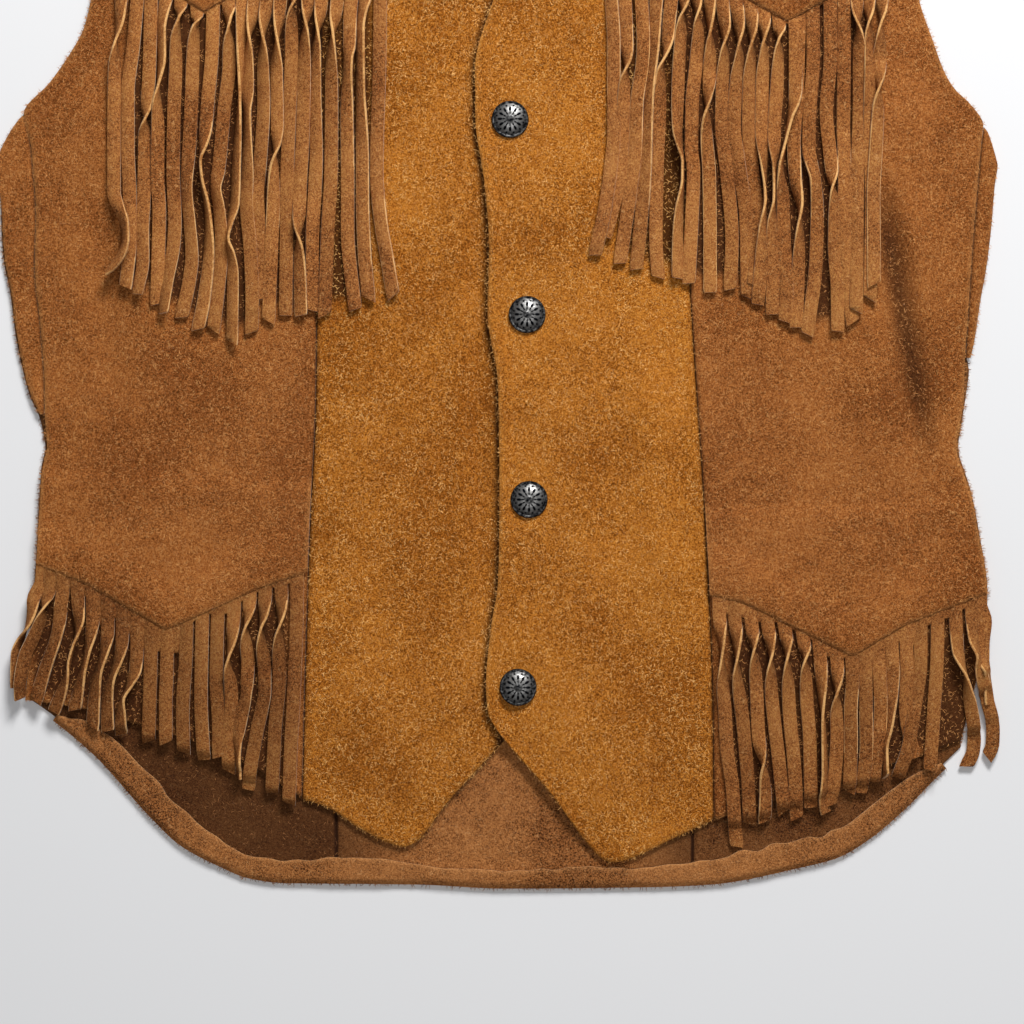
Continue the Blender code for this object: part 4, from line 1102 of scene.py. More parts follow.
@dataclass
class Panel:
    """A cut piece of suede: a wall with rounded edges, lofted through its key rows."""

    node: str
    finish: Finish
    slot: str
    plan: np.ndarray
    lower: np.ndarray
    rests_on: tuple[str, ...] = ()
    free: str = "LRBT"
    seams: str = ""
    thickness: float = SUEDE
    skive: float = 0.0
    pressed: float = 0.0
    shade: np.ndarray | None = None
    name: str = field(init=False)
    top: np.ndarray = field(init=False)
    worn: np.ndarray = field(init=False)
    dark: np.ndarray = field(init=False)

    def __post_init__(self) -> None:
        """Name the dressed piece after its node; work out its upper surface, wear and shade."""
        self.name = "suede_" + self.node
        away = self.distances()
        far = np.full(self.lower.shape, FAR)
        free = np.min([away[side] for side in self.free] + [far], axis=0)
        seam = np.min([away[side] for side in self.seams] + [far], axis=0)
        drop = 0.62 * np.clip(1 - free / 1.5, 0, 1) ** 2 + 0.85 * np.clip(1 - seam / 2.0, 0, 1) ** 2
        swell = 0.25 * np.exp(-(((free - 3.0) / 1.6) ** 2)) + 0.3 * np.exp(-(((seam - 3.4) / 1.8) ** 2))
        self.top = self.lower + self.thickness - drop + swell - self.skive * (1 - ease(away["T"] / 8.0))
        self.top = self.top - self.pressed * (1 - ease(away["B"] / 6.0))
        self.worn = 0.7 * np.exp(-((free / 1.3) ** 2))
        # Painted shade along the seams' crevices, and any painted shade that the panel is given
        self.dark = 0.55 * np.exp(-((seam / 0.7) ** 2))
        if self.shade is not None:
            self.dark = self.dark + self.shade

    def distances(self) -> dict[str, np.ndarray]:
        """Distance of each point from the left, right, bottom and top edge, along its row or column."""
        across = np.linalg.norm(np.diff(self.plan, axis=1), axis=2).cumsum(axis=1)
        across = np.pad(across, ((0, 0), (1, 0)))
        along = np.linalg.norm(np.diff(self.plan, axis=0), axis=2).cumsum(axis=0)
        along = np.pad(along, ((1, 0), (0, 0)))
        return {"L": across, "R": across[:, -1:] - across, "B": along, "T": along[-1:] - along}

    def build(self, stack: Stack) -> bpy.types.Object:
        rows, columns = self.lower.shape
        count = rows * columns
        upper = np.dstack((self.plan, self.top)).reshape(-1, 3)
        under = np.dstack((self.plan, self.lower)).reshape(-1, 3)
        faces, below, rim = wall_faces(rows, columns)
        stack.add(upper, faces)
        edge = Finish.RAW if self.finish is Finish.BACK else Finish.EDGE
        piece = make_object(self.name, np.vstack((upper, under)), faces + below + rim, (self.finish, edge))
        indices = np.zeros(len(piece.data.polygons), dtype=np.int32)
        indices[len(faces) * 2 :] = 1
        piece.data.polygons.foreach_set("material_index", indices)
        piece.data.set_sharp_from_angle(angle=math.radians(50))
        set_attribute(piece.data, "worn", np.concatenate((self.worn.ravel(), np.zeros(count))))
        set_attribute(piece.data, "shade", np.concatenate((self.dark.ravel(), np.zeros(count))))
        low, high = self.plan.min(axis=(0, 1)), self.plan.max(axis=(0, 1))
        width, length = (high - low) * MM
        place_piece(piece, self.node)
        area = plan_area(self.plan) * MM * MM
        if area >= BOX_SHARE * width * length:
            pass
        else:
            strip = float(max(self.distances()["R"].max(), self.distances()["T"].max())) * MM
        LOG.info("%s: %d faces", self.name, len(piece.data.polygons))
        return piece


def place_piece(piece: bpy.types.Object, node: str | None) -> None:
    """Fix a piece to the vest, in the place of its CAD node where it has one."""
    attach(piece, "root")
    if node:
        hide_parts(node)


@dataclass
class Body:
    """The back, the gussets, the fronts with their pockets, and the yokes."""

    stack: Stack
    fine: float = 2.4
    coarse: float = 4.2
    hem_wrap: float = 1.9
    pockets: list[Panel] = field(default_factory=list)
    panels: dict[str, Panel] = field(default_factory=dict)

    def add(self, panel: Panel) -> None:
        """Build a panel and remember it."""
        panel.build(self.stack)
        self.panels[panel.node] = panel

    def lay_back(self) -> None:
        """Middle and sides of the back, flat on the table, inside up."""
        hem = above(back_hem, self.hem_wrap)

        def beyond(y: float) -> np.ndarray:
            """How far the back shows past the side fronts; above the underarm it is drawn in."""
            return np.where(y > 42, -0.8, 0.9 * ease((30 - y) / 20) * ease((y + 200) / 30))

        def edge_left(y: float) -> np.ndarray:
            """The back's edge at -X."""
            return outline_left(y) - beyond(y)

        def edge_right(y: float) -> np.ndarray:
            """The back's edge at +X, set in where the gusset curves down round it."""
            width = np.where((y > -60) & (y < 60), outline_right(y) - gusset_seam_right(y), 0.0)
            return outline_right(y) + beyond(y) - 4.2 * ease((width - 1) / 2.5)

        up = self.hem_wrap
        parts = (
            (
                "back_centre",
                back_seam_left,
                back_seam_right,
                [(-292.3 + up, -293.6 + up, hem), (30, 30, None), (279.9, 279.9, shoulder)],
                "LR",
            ),
            (
                "back_side_left",
                edge_left,
                back_seam_left,
                [(-207.9 + up, -292.4 + up, hem), (-98, -100, None), (40, 60, None), (94, 110, None)]
                + [(258.2, 280, shoulder)],
                "R",
            ),
            (
                "back_side_right",
                back_seam_right,
                edge_right,
                [(-293.7 + up, -231.5 + up, hem), (-100, -102, None), (60, 42, None), (110, 90, None)]
                + [(280, 258.2, shoulder)],
                "L",
            ),
        )
        for node, left, right, rows, seams in parts:
            plan = loft(left, right, rows, self.coarse)
            free = "".join(side for side in "LRBT" if side not in seams)
            panel = Panel(node, Finish.BACK, "back_suede", plan, np.zeros(plan.shape[:2]), (), free, seams)
            uneven = 0.12 * ripple.at(plan[..., 0], plan[..., 1], 19.0) - 0.12
            panel.top = panel.top + uneven
            # Painted shade on the back's inside, partly also its darker leather: full on the sides, and on
            # the middle growing towards its sides
            dim = {"back_side_left": 0.8, "back_side_right": 0.6}.get(node, 0.0)
            edges = ease((np.abs(plan[..., 0] - 4) - 40) / 45) * (0.7 if node == "back_centre" else 0.0)
            panel.dark = panel.dark + dim + edges
            self.add(panel)

    def lay_turn_up(self) -> None:
        """The back's lower edge: it rounds over at the outline and lies turned up on the inside."""
        first, last = TURN_UP_WIDTH[0][1], TURN_UP_WIDTH[-1][1]
        x = np.linspace(first, last, 230)
        slope = (back_hem(x + 1) - back_hem(x - 1)) / 2
        inward = np.column_stack((-slope, np.ones(len(x)))) / np.sqrt(1 + slope**2)[:, None]
        outline = np.column_stack((x, back_hem(x)))
        wavy = 1.4 * ripple.at(x, x * 0.3, 7.5) + 1.2 * ripple.at(x, x * 0.2 + 50, 21.0)
        width = turn_up_width(x) + wavy * ease((turn_up_width(x) - 4) / 4)
        shares = np.array((0.0, 0.03, 0.08, 0.16, 0.3, 0.5, 0.7, 0.84, 0.93, 1.0))
        steps = shares[:, None] * width
        lines = outline[None] + (steps - 0.2)[..., None] * inward[None]
        limit = front_hem(lines[..., 0]) - 1.2
        lines[..., 1] = np.where(np.abs(lines[..., 0]) > 100, np.minimum(lines[..., 1], limit), lines[..., 1])
        lower = SUEDE + LAY - (SUEDE + LAY - 0.15) * np.clip(1 - steps / self.hem_wrap, 0, 1) ** 0.5
        puff = 0.2 * np.sin(np.pi * shares)[:, None] * (1 + 0.6 * ripple.at(x, x * 0.1, 16.0))
        puff = puff + 0.8 * np.exp(-((((1 - shares)[:, None] * width) / 1.3) ** 2))
        finish, slot = Finish.BACK, "back_suede"
        panel = Panel("hem_turn_up", finish, slot, lines, lower + puff, ("suede_back_centre",), "T")
        self.add(panel)

    def lay_gussets(self) -> None:
        """Narrow wedges under the arms; the right one curves down round the edge of the back."""
        rows = [(-74.5, -74.5, None), (41, 65, lambda x: -0.06 * (x + 224) ** 2)]
        plan = loft(outline_left, lambda y: gusset_seam_left(y) - SEAM_HALF, rows, 2.6)
        lower = np.full(plan.shape[:2], SUEDE + LAY)
        rests_on = ("suede_back_side_left",)
        self.add(Panel("side_gusset_left", Finish.SIDE, "side_suede", plan, lower, rests_on, "LT", "R"))
        rows = [(-48.2, -48.2, None), (59.4, 42, lambda x: -0.25 * (x - 222) ** 2)]
        plan = loft(lambda y: gusset_seam_right(y) + SEAM_HALF, outline_right, rows, 2.6)
        x, y = plan[..., 0], plan[..., 1]
        width = outline_right(y) - gusset_seam_right(y)
        near = 1 - ease((outline_right(y) - x) / 2.4)
        lower = SUEDE + LAY - SUEDE * near * ease((width - 2.5) / 3)
        rests_on = ("suede_back_side_right",)
        self.add(Panel("side_gusset_right", Finish.SIDE, "side_suede", plan, lower, rests_on, "RT", "L"))

    def step(self, point: Shape, x: np.ndarray, y: np.ndarray) -> np.ndarray:
        """How far a pointed panel lies above the panel under it: over the fringe's band, then down."""
        return OVER_BAND * (1 - ease((y - point(x) - STEP_START) / (STEP_END - STEP_START)))

    def lay_side_fronts(self) -> None:
        """Side fronts, and the pointed pocket on each."""
        half = SEAM_HALF
        left_rows = [(-207.5, -252.6, side_hem_left), (-144.2, -147.7, pocket_point_left)]
        left_rows += [(-97.7, -104.2, pocket_top_left), (65.2, 45, None)]
        left_rows.append((156, 156, above(yoke_point_left, UNDER_YOKE)))
        right_rows = [(-263.2, -226.5, side_hem_right), (-158.6, -158, pocket_point_right)]
        right_rows += [(-116, -109, pocket_top_right), (45, 60, None)]
        right_rows.append((148.8, 152.5, above(yoke_point_right, UNDER_YOKE)))
        sides = (
            (
                "left",
                lambda y: front_side_left(y) + np.where(y < 65, half, 0.0),
                lambda y: princess_left(y) - half,
                left_rows,
                pocket_point_left,
                "R",
            ),
            (
                "right",
                lambda y: princess_right(y) + half,
                lambda y: front_side_right(y) - np.where(y < 60, half, 0.0),
                right_rows,
                pocket_point_right,
                "L",
            ),
        )
        for side, left, right, rows, point, seam in sides:
            plan = loft(left, right, rows, self.fine)
            lower = front_lower(plan[..., 0], plan[..., 1])
            free = "".join(s for s in "LRBT" if s != seam)
            rests_on = (f"suede_back_side_{side}",)
            node = f"side_front_{side}"
            # Painted shade in the deepest crease of the right side front, on top of the painted shade under
            # the fringes
            crease = -0.22 * fold_height(plan[..., 0], plan[..., 1], CREASES[:1])
            shade = np.maximum(under_fringe(plan), np.clip(crease, 0, 0.75))
            self.add(Panel(node, Finish.SIDE, "side_suede", plan, lower, rests_on, free, seam, shade=shade))
            rows = [rows[1], rows[2]]
            plan = loft(left, right, rows, self.fine)
            x, y = plan[..., 0], plan[..., 1]
            lower = front_lower(x, y) + SUEDE + LAY + POINT_ROOM + self.step(point, x, y)
            slot, under = "side_suede", ("suede_" + node,)
            node = f"pocket_{side}"
            pocket = Panel(node, Finish.SIDE, slot, plan, lower, under, "LRB", skive=1.2, pressed=0.6)
            self.pockets.append(pocket)

    def lay_fronts(self) -> None:
        """Centre fronts: the left one first, then the right one lapped over it."""
        rows = [(-253.4, -205, front_hem_left), (-150, -150, None), (-28, -28, None), (62, 62, None)]
        rows.append((156.2, 192.5, above(yoke_point_left, UNDER_YOKE)))
        plan = loft(lambda y: princess_left(y) + SEAM_HALF, free_edge_left, rows, self.fine)
        lower = front_lower(plan[..., 0], plan[..., 1])
        rests_on = ("suede_back_centre",)
        # Painted shadow of the right front's free edge on the left front, on top of the painted shade under
        # the fringe
        away = np.maximum(free_edge_right(plan[..., 1]) - plan[..., 0], 0.0)
        shade = np.maximum(under_fringe(plan), 0.95 * np.exp(-((away / 2.4) ** 2)))
        slot = "centre_suede"
        self.add(Panel("front_left", Finish.CENTRE, slot, plan, lower, rests_on, "RBT", "L", shade=shade))
        rows = [(-222.7, -263.2, front_hem_right), (-150, -150, None), (-28, -28, None), (62, 62, None)]
        rows.append((185, 148.8, above(yoke_point_right, UNDER_YOKE)))
        plan = loft(free_edge_right, lambda y: princess_right(y) - SEAM_HALF, rows, self.fine)
        lower = lap_lower(plan[..., 0], plan[..., 1])
        rests_on = ("suede_back_centre", "suede_front_left")
        shade = under_fringe(plan)
        self.add(Panel("front_right", Finish.CENTRE, slot, plan, lower, rests_on, "LBT", "R", shade=shade))

    def lay_pockets(self) -> None:
        """The pointed pockets, over the roots of their fringes."""
        for pocket in self.pockets:
            self.add(pocket)

    def lay_yokes(self) -> None:
        """Pointed yokes: over the fronts' upper edge, then down to the back's shoulder seam."""
        up = YOKE_LEVEL
        left_rows = [(143.8, 180.5, yoke_point_left), (143.8 + up, 180.5 + up, above(yoke_point_left, up))]
        left_rows.append((257.9, 294.9, shoulder))
        right_rows = [(173, 140.5, yoke_point_right), (173 + up, 140.5 + up, above(yoke_point_right, up))]
        right_rows.append((294.9, 257.9, shoulder))
        sides = (
            ("left", front_side_left, free_edge_left, left_rows, yoke_point_left, front_lower),
            ("right", free_edge_right, front_side_right, right_rows, yoke_point_right, lap_lower),
        )
        for side, left, right, rows, point, under in sides:
            plan = loft(left, right, rows, self.fine)
            x, y = plan[..., 0], plan[..., 1]
            over_front = (SUEDE + LAY) * (1 - ease((y - point(x) - STEP_START - 1) / 13))
            lower = under(x, y) + over_front + self.step(point, x, y) + 0.1 + POINT_ROOM
            node, slot = f"yoke_{side}", "side_suede"
            rests_on = (f"suede_front_{side}", f"suede_side_front_{side}")
            self.add(Panel(node, Finish.SIDE, slot, plan, lower, rests_on, pressed=0.4))


@dataclass
class Fringe:
    """Strips cut side by side, hanging from a narrow band just under a pointed edge."""

    node: str
    strips: Sequence[Sequence[tuple[float, float, float]]]
    point: Shape
    slits: Shape
    rests_on: tuple[str, ...]
    stack: Stack
    # Painted shade over the whole fringe
    dark: float = 0.0
    width: float = 6.3
    spacing: float = 2.0
    laid: list[np.ndarray] = field(default_factory=list)

    def path(self, strip: Sequence[tuple[float, float, float]]) -> tuple[np.ndarray, np.ndarray, np.ndarray]:
        """Middle line of a strip, its roll, and how far it is free of the band.

        Args:
            strip: Pixels across, pixels down and roll in degrees, from the band down.

        Returns:
            Plan points from the band down, the roll at each in radians, and 0 in the band to 1 below it.
        """
        plan = from_photo([(x, y) for x, y, _ in strip])
        across = Line([("strip", -y, x) for x, y in plan])
        turn = Line([("strip", -y, row[2]) for (_, y), row in zip(plan, strip)])
        root = -float(self.point(plan[0, 0])) - BAND_HEIGHT
        down = np.linspace(root, -plan[-1, 1], round((-plan[-1, 1] - root) / self.spacing) + 1)
        x = across(down)
        free = ease((self.slits(x) + down) / 9.0)
        held = np.clip(x, front_side_left(-down) + self.width / 2, front_side_right(-down) - self.width / 2)
        x = x + (held - x) * (1 - free)
        return np.column_stack((x, -down)), np.radians(turn(down)) * free, free

    def rest(self, places: np.ndarray) -> np.ndarray:
        """Height of what lies under each place."""
        return np.array([self.stack.top(float(x), float(y)) for x, y in places])

    def heights(self, middle: np.ndarray, side: np.ndarray, roll: np.ndarray, free: np.ndarray) -> np.ndarray:
        """Height of a strip's middle line: clear of the suede below and of strips that it crosses."""
        half, thick = self.width / 2, FRINGE_SUEDE / 2
        reach = side * (half * np.abs(np.cos(roll)))[:, None]
        base = np.max([self.rest(middle + reach * k) for k in (-1, 0, 1)], axis=0)
        for other in self.laid:
            away = np.linalg.norm(middle[:, None] - other[None], axis=2).min(axis=1)
            base = base + 1.5 * (1 - ease((away - 1.8) / 3.0)) * free
        padded = np.pad(base, 2, mode="edge")
        highest = np.max([padded[k : k + len(base)] for k in range(5)], axis=0)
        return highest + STRIP_ROOM + 0.5 * free + half * np.abs(np.sin(roll)) + thick * np.abs(np.cos(roll))

    def strip(self, path: Sequence, slant: float) -> tuple[np.ndarray, list[tuple], list[bool]]:
        """One strip as a closed bar with soft edges and a slanted end.

        Args:
            path: The strip's row of the table.
            slant: How far the right corner of the end lies beyond the left one, in millimetres.

        Returns:
            Points, faces, and whether each face is a cut edge.
        """
        half, thick, soft = self.width / 2, FRINGE_SUEDE / 2, 0.3
        flat = half - soft
        across = np.array((-half, -flat, flat, half, half, flat, 0, -flat, -half))
        inner = thick - soft
        raised = np.array((-inner, -thick, -thick, -inner, inner, thick, thick, thick, inner))
        raised[6] += 0.18
        middle, roll, free = self.path(path)
        run = np.gradient(middle, axis=0)
        run /= np.linalg.norm(run, axis=1)[:, None]
        side = np.column_stack((-run[:, 1], run[:, 0]))
        height = self.heights(middle, side, roll, free)
        self.laid.append(middle)
        corners = len(across)
        wide = np.full(len(middle), 1.0)
        wide[-1] = 0.9
        reach, turn = across * wide[:, None], roll[:, None]
        aside = reach * np.cos(turn) - raised * np.sin(turn)
        up = reach * np.sin(turn) + raised * np.cos(turn)
        plan = middle[:, None] + side[:, None] * aside[..., None]
        plan[-1] += run[-1] * (slant * across / half)[:, None]
        points = np.dstack((plan, height[:, None] + up)).reshape(-1, 3)
        faces, cut = [], []
        for k in range(len(middle) - 1):
            for c in range(corners):
                low, high, after = k * corners, (k + 1) * corners, (c + 1) % corners
                faces.append((low + c, low + after, high + after, high + c))
                cut.append(c in (3, 8) or (c in (4, 7) and abs(roll[k]) > TWISTED))
        faces.append(tuple(range(corners - 1, -1, -1)))
        faces.append(tuple((len(middle) - 1) * corners + c for c in range(corners)))
        return points, faces, cut + [True, True]

    def band(self) -> tuple[np.ndarray, list[tuple]]:
        """The uncut band over the roots of the strips, sinking into them at the tops of the cuts."""
        ends = from_photo([(strip[0][0], 0) for strip in self.strips])[:, 0]
        x = np.linspace(ends.min() - 2.8, ends.max() + 2.8, 150)
        shares = np.array((0.0, 0.03, 0.1, 0.25, 0.6, 1.0))
        low = self.slits(x)
        y = low + (self.point(x) + BAND_HEIGHT - low) * shares[:, None]
        wide = np.clip(np.broadcast_to(x, y.shape), front_side_left(y) + 0.3, front_side_right(y) - 0.3)
        base = self.rest(np.column_stack((wide.ravel(), y.ravel()))).reshape(y.shape)
        sunk = np.array((0.5, 0.06, -0.04, -0.08, -0.08, -0.08))
        top = base + STRIP_ROOM + OVER_BAND - sunk[:, None]
        upper = np.dstack((wide, y, top)).reshape(-1, 3)
        under = upper - np.array((0.0, 0.0, 0.6))
        return np.vstack((upper, under)), [face for side in wall_faces(*y.shape) for face in side]

    def build(self) -> bpy.types.Object:
        chance = np.random.default_rng(sum(map(ord, self.node)))
        parts = [self.strip(path, chance.uniform(-1.7, 1.7)) for path in self.strips]
        points, faces = self.band()
        cut = [False] * len(faces)
        # Painted shade over the band and strips, with a random tone added to each strip
        shade = [np.full(len(points), self.dark)]
        meshes = [points]
        start = len(points)
        for points, sides, raw in parts:
            faces = faces + [tuple(start + corner for corner in face) for face in sides]
            cut += raw
            meshes.append(points)
            shade.append(np.full(len(points), self.dark + chance.uniform(-0.06, 0.14)))
            start += len(points)
        points = np.vstack(meshes)
        piece = make_object("suede_" + self.node, points, faces, (Finish.FRINGE, Finish.RAW))
        piece.data.polygons.foreach_set("material_index", np.array(cut, dtype=np.int32))
        set_attribute(piece.data, "worn", np.zeros(len(points)))
        set_attribute(piece.data, "shade", np.concatenate(shade))
        piece.data.set_sharp_from_angle(angle=math.radians(60))
        place_piece(piece, self.node)
        LOG.info("%s: %d strips", piece.name, len(parts))
        return piece


@dataclass
class LooseFibres:
    """Fibres that brushing has lifted out of the suede: short bent blades, on a face or past an edge."""

    name: str
    slot: str
    finish: Finish
    seed: int
    points: list[np.ndarray] = field(default_factory=list)

    def scatter(self, panel: Panel, density: float, length: float, shows: Shape | None = None) -> None:
        """Lay fibres on a panel's face.

        Args:
            panel: The panel.
            density: Fibres in a square millimetre.
            length: Usual length of a fibre, in millimetres.
            shows: Lowest height y, as a function of x, below which the fibres are laid. All over if None.
        """
        chance = np.random.default_rng(self.seed + len(self.points))
        surface = np.dstack((panel.plan, panel.top))
        across, along = surface[:-1, 1:] - surface[:-1, :-1], surface[1:, :-1] - surface[:-1, :-1]
        areas = np.abs(across[..., 0] * along[..., 1] - across[..., 1] * along[..., 0]).ravel()
        count = int(areas.sum() * density)
        cells = chance.choice(areas.size, count, p=areas / areas.sum())
        row, column = np.divmod(cells, surface.shape[1] - 1)
        u, v = chance.random((2, count, 1))
        low = surface[row, column] * (1 - u) + surface[row, column + 1] * u
        high = surface[row + 1, column] * (1 - u) + surface[row + 1, column + 1] * u
        roots = low * (1 - v) + high * v
        if shows is not None:
            roots = roots[roots[:, 1] < shows(roots[:, 0])]
        angle = chance.uniform(0, 2 * math.pi, len(roots))
        self.blades(roots, angle, length, chance)

    def edge(self, panel: Panel, side: str, density: float, length: float) -> None:
        """Let fibres stand out past one edge of a panel.

        Args:
            panel: The panel.
            side: "L", "R", "B" or "T".
            density: Fibres in a millimetre of edge.
            length: Usual length of a fibre, in millimetres.
        """
        chance = np.random.default_rng(self.seed + len(self.points))
        surface = np.dstack((panel.plan, (panel.top + panel.lower * 0.6) / 1.6))
        line = {"L": surface[:, 0], "R": surface[:, -1], "B": surface[0], "T": surface[-1]}[side]
        inner = {"L": surface[:, 4], "R": surface[:, -5], "B": surface[4], "T": surface[-5]}[side]
        steps = np.linalg.norm(np.diff(line[:, :2], axis=0), axis=1)
        travel = np.concatenate(((0.0,), steps.cumsum()))
        places = chance.uniform(0, travel[-1], int(travel[-1] * density))
        roots = np.column_stack([np.interp(places, travel, line[:, k]) for k in range(3)])
        out = line - inner
        angle = np.interp(places, travel, np.unwrap(np.arctan2(out[:, 1], out[:, 0])))
        self.blades(roots, angle + chance.normal(0, 0.6, len(roots)), length, chance)

    def blades(self, roots: np.ndarray, angle: np.ndarray, length: float, chance: Chance) -> None:
        """Add a blade of two bent parts at each root.

        Args:
            roots: Where the blades start.
            angle: Which way each points, in radians.
            length: Usual length of a blade, in millimetres.
            chance: Where the random draws come from.
        """
        count = len(roots)
        size = length * chance.uniform(0.45, 1.35, count) / 2
        bend = angle + chance.normal(0, 0.9, count)
        rise = chance.uniform(0.02, 0.28, count)
        half = chance.uniform(0.06, 0.12, (count, 1))
        middle = roots + np.column_stack((np.cos(angle) * size, np.sin(angle) * size, rise))
        fall = rise * chance.uniform(-0.6, 0.8)
        tip = middle + np.column_stack((np.cos(bend) * size, np.sin(bend) * size, fall))
        aside = np.column_stack((-np.sin(angle), np.cos(angle), np.zeros(count))) * half
        corners = (roots + aside, roots - aside, middle + aside, middle - aside, tip)
        self.points.append(np.stack(corners, axis=1))

    def build(self) -> bpy.types.Object:
        """Make the blades in one mesh."""
        points = np.concatenate(self.points).reshape(-1, 3)
        starts = np.arange(0, len(points), 5)
        faces = np.column_stack((starts + 1, starts, starts + 2, starts + 3)).tolist()
        faces += np.column_stack((starts + 3, starts + 2, starts + 4)).tolist()
        piece = make_object(self.name, points, faces, (self.finish,))
        place_piece(piece, None)
        LOG.info("%s: %d fibres", self.name, len(starts))
        return piece


@dataclass
class Snap:
    """A riveted snap's cap: a rim, a groove and a dome stamped with a sunburst of petals."""

    number: int
    x: float
    y: float
    z: float
    petals: int = 12

    def build(self) -> bpy.types.Object:
        """Model the cap by extruding a disc ring by ring, then add its raised ornament."""
        bpy.ops.object.select_all(action="DESELECT")
        place = Vector((self.x, self.y, self.z)) * MM
        bpy.ops.mesh.primitive_circle_add(
            vertices=CAP_SIDES, radius=CAP_RADIUS * MM, fill_type="NGON", location=place
        )
        cap = bpy.context.object
        cap.name = f"snap_dome_{self.number}"
        bpy.ops.object.mode_set(mode="EDIT")
        bpy.ops.mesh.select_all(action="SELECT")
        radius, height = CAP_RADIUS, 0.0
        for wide, up in CAP_PROFILE:
            rise = {"value": (0, 0, (up - height) * MM)}
            bpy.ops.mesh.extrude_region_move(TRANSFORM_OT_translate=rise)
            bpy.ops.transform.resize(value=(wide / radius, wide / radius, 1), center_override=place)
            radius, height = wide, up
        bpy.ops.mesh.select_all(action="SELECT")
        bpy.ops.mesh.normals_make_consistent(inside=False)
        bpy.ops.object.mode_set(mode="OBJECT")
        ornament = []
        for away, up, long, wide, start in PETAL_RINGS:
            for k in range(self.petals):
                angle = 2 * math.pi * (k + start) / self.petals
                spot = place + Vector((away * math.cos(angle), away * math.sin(angle), up)) * MM
                bpy.ops.mesh.primitive_uv_sphere_add(segments=10, ring_count=6, radius=1 * MM, location=spot)
                drop = bpy.context.object
                drop.scale = (long, wide, 0.38)
                drop.rotation_euler = (0, math.atan2(away * 0.09, 1), angle)
                ornament.append(drop)
        bpy.ops.object.select_all(action="DESELECT")
        for drop in ornament:
            drop.select_set(True)
        cap.select_set(True)
        bpy.context.view_layer.objects.active = cap
        bpy.ops.object.join()
        bpy.ops.object.transform_apply(location=True, rotation=True, scale=True)
        bpy.ops.object.shade_smooth_by_angle(angle=math.radians(40))
        out = np.array([math.hypot(v.co.x - place.x, v.co.y - place.y) for v in cap.data.vertices]) / MM
        rubbed = 0.55 * np.exp(-(((out - 4.2) / 2.4) ** 2)) + 0.1
        rubbed[CAP_SIDES * (len(CAP_PROFILE) + 1) :] = -0.5
        set_attribute(cap.data, "rubbed", rubbed)
        cap.data.materials.clear()
        cap.data.materials.append(material_of(Finish.METAL))
        place_piece(cap, f"snap_cap_{self.number}")
        LOG.info("%s: %d faces", cap.name, len(cap.data.polygons))
        return cap


@dataclass
class Studio:
    """Pale table, soft light from the shoulders' side, and the camera straight above."""

    camera_place: tuple[float, float, float] = (0.00279, -0.11997, 1.4)
    lens: float = 105.5

    def build(self) -> None:
        """Add the table, the lights and the camera."""
        bpy.ops.object.select_all(action="DESELECT")
        bpy.ops.mesh.primitive_plane_add(size=6.0, location=(0, 0, -0.0002))
        table = bpy.context.object
        table.name = "table"
        material = bpy.data.materials.new("matt_white_table")
        material.use_nodes = True
        shader = material.node_tree.nodes["Principled BSDF"]
        shader.inputs["Base Color"].default_value = linear("#E4E4E5")
        shader.inputs["Roughness"].default_value = 0.8
        table.data.materials.append(material)

        camera_data = bpy.data.cameras.new("camera")
        camera_data.lens = self.lens
        camera_data.sensor_width = 36.0
        camera_data.clip_start = 0.05
        camera = bpy.data.objects.new("camera", camera_data)
        camera.location = self.camera_place
        bpy.context.scene.collection.objects.link(camera)
        bpy.context.scene.camera = camera

        self.light("window", (0.42, 1.42, 1.15), (0.75, 0.45), 45.0)
        self.light("fill", (0.1, -0.4, 2.0), (0.8, 0.8), 8.0)
        world = bpy.data.worlds.new("studio_air")
        world.use_nodes = True
        world.node_tree.nodes["Background"].inputs["Color"].default_value = (0.97, 0.98, 1.0, 1.0)
        world.node_tree.nodes["Background"].inputs["Strength"].default_value = 0.2
        bpy.context.scene.world = world
        bpy.context.scene.view_settings.view_transform = "Standard"

    def light(self, name: str, place: tuple, size: tuple[float, float], power: float) -> None:
        """Add a soft area light that faces the vest."""
        data = bpy.data.lights.new(name, "AREA")
        data.shape = "RECTANGLE"
        data.size, data.size_y = size
        data.energy = power
        lamp = bpy.data.objects.new(name, data)
        lamp.location = place
        aim = Vector((0.0, -0.1, 0.0)) - Vector(place)
        lamp.rotation_euler = aim.to_track_quat("-Z", "Y").to_euler()
        bpy.context.scene.collection.objects.link(lamp)


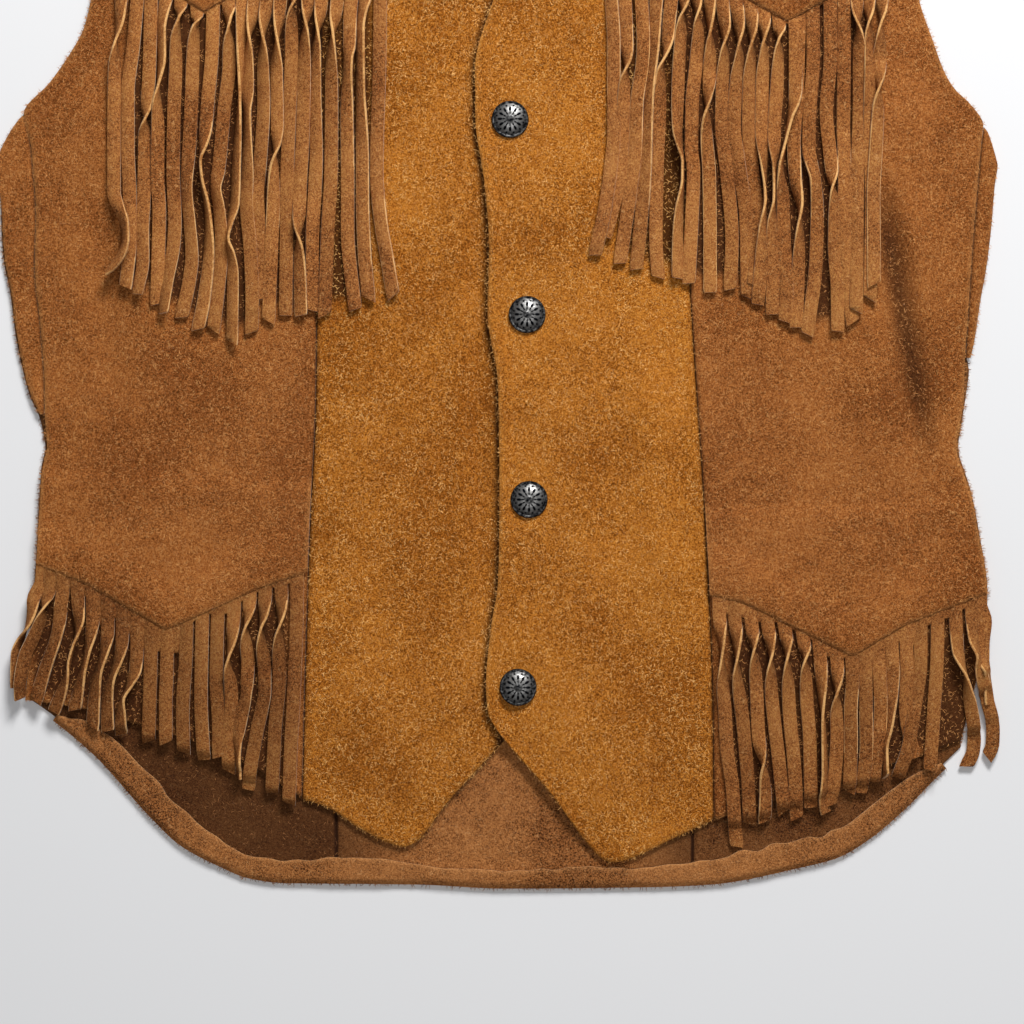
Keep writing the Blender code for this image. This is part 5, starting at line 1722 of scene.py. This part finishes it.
def lift_fibres(body: Body) -> None:
    """Add the loose fibres of the brushed faces and cut edges that show."""
    panels = body.panels
    for side in ("left", "right"):
        centre = LooseFibres(f"fibres_centre_{side}", "centre_suede", Finish.FIBRE, 11)
        centre.scatter(panels[f"front_{side}"], 0.42, 1.9)
        centre.edge(panels[f"front_{side}"], "B", 0.7, 1.4)
        centre.edge(panels[f"front_{side}"], "R" if side == "left" else "L", 0.6, 1.2)
        centre.build()
        outer = "L" if side == "left" else "R"
        flank = LooseFibres(f"fibres_side_{side}", "side_suede", Finish.FIBRE_SIDE, 23)
        for node, density in (("side_front", 0.32), ("pocket", 0.34), ("yoke", 0.15), ("side_gusset", 0.3)):
            flank.scatter(panels[f"{node}_{side}"], density, 1.8)
            flank.edge(panels[f"{node}_{side}"], outer, 0.9, 1.7)
            flank.edge(panels[f"{node}_{side}"], "B", 0.25, 1.0)
        flank.build()
    hem = LooseFibres("fibres_back", "back_suede", Finish.FIBRE_BACK, 37)
    hem.scatter(panels["hem_turn_up"], 0.22, 1.7)
    hem.edge(panels["hem_turn_up"], "B", 0.9, 1.8)
    hem.edge(panels["hem_turn_up"], "T", 0.8, 1.2)
    for node, side in (("back_side_left", "L"), ("back_side_right", "R"), ("back_centre", "")):
        hem.scatter(panels[node], 0.12, 1.9, above(front_hem, 2.0))
        if side:
            hem.edge(panels[node], side, 1.4, 1.8)
    hem.build()


def main() -> None:
    """Build the vest in the order that it is laid in, then the studio."""
    logging.basicConfig(level=logging.INFO, format="%(name)s: %(message)s")
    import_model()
    stack = Stack()
    body = Body(stack)
    body.lay_back()
    body.lay_turn_up()
    body.lay_gussets()
    body.lay_side_fronts()
    body.lay_fronts()
    slits = [Line([("slit", x, y) for x, y in from_photo(cuts)]) for cuts in (SLITS_LEFT, SLITS_RIGHT)]
    chest = [above(line, -1.2) for line in (yoke_point_left, yoke_point_right)]
    # The last column is each fringe's painted shade, deepest on the left pocket's
    fringes = (
        ("pocket_fringe_left", POCKET_STRIPS_LEFT, pocket_point_left, slits[0], "side_front_left", 0.25),
        ("pocket_fringe_right", POCKET_STRIPS_RIGHT, pocket_point_right, slits[1], "side_front_right", 0.1),
        ("chest_fringe_left", CHEST_STRIPS_LEFT, yoke_point_left, chest[0], "side_front_left", 0.0),
        ("chest_fringe_right", CHEST_STRIPS_RIGHT, yoke_point_right, chest[1], "side_front_right", 0.0),
    )
    for node, strips, point, cuts, under, dark in fringes:
        Fringe(node, strips, point, cuts, ("suede_" + under,), stack, dark).build()
    body.lay_pockets()
    body.lay_yokes()
    lift_fibres(body)
    for number, (_, y, x) in enumerate(SNAPS, 1):
        rest = max(stack.top(x + 8 * math.cos(a), y + 8 * math.sin(a)) for a in (0, 1, 2, 3, 4, 5))
        Snap(number, x, y, rest - 0.1).build()
    Studio().build()


if __name__ == "__main__":
    main()
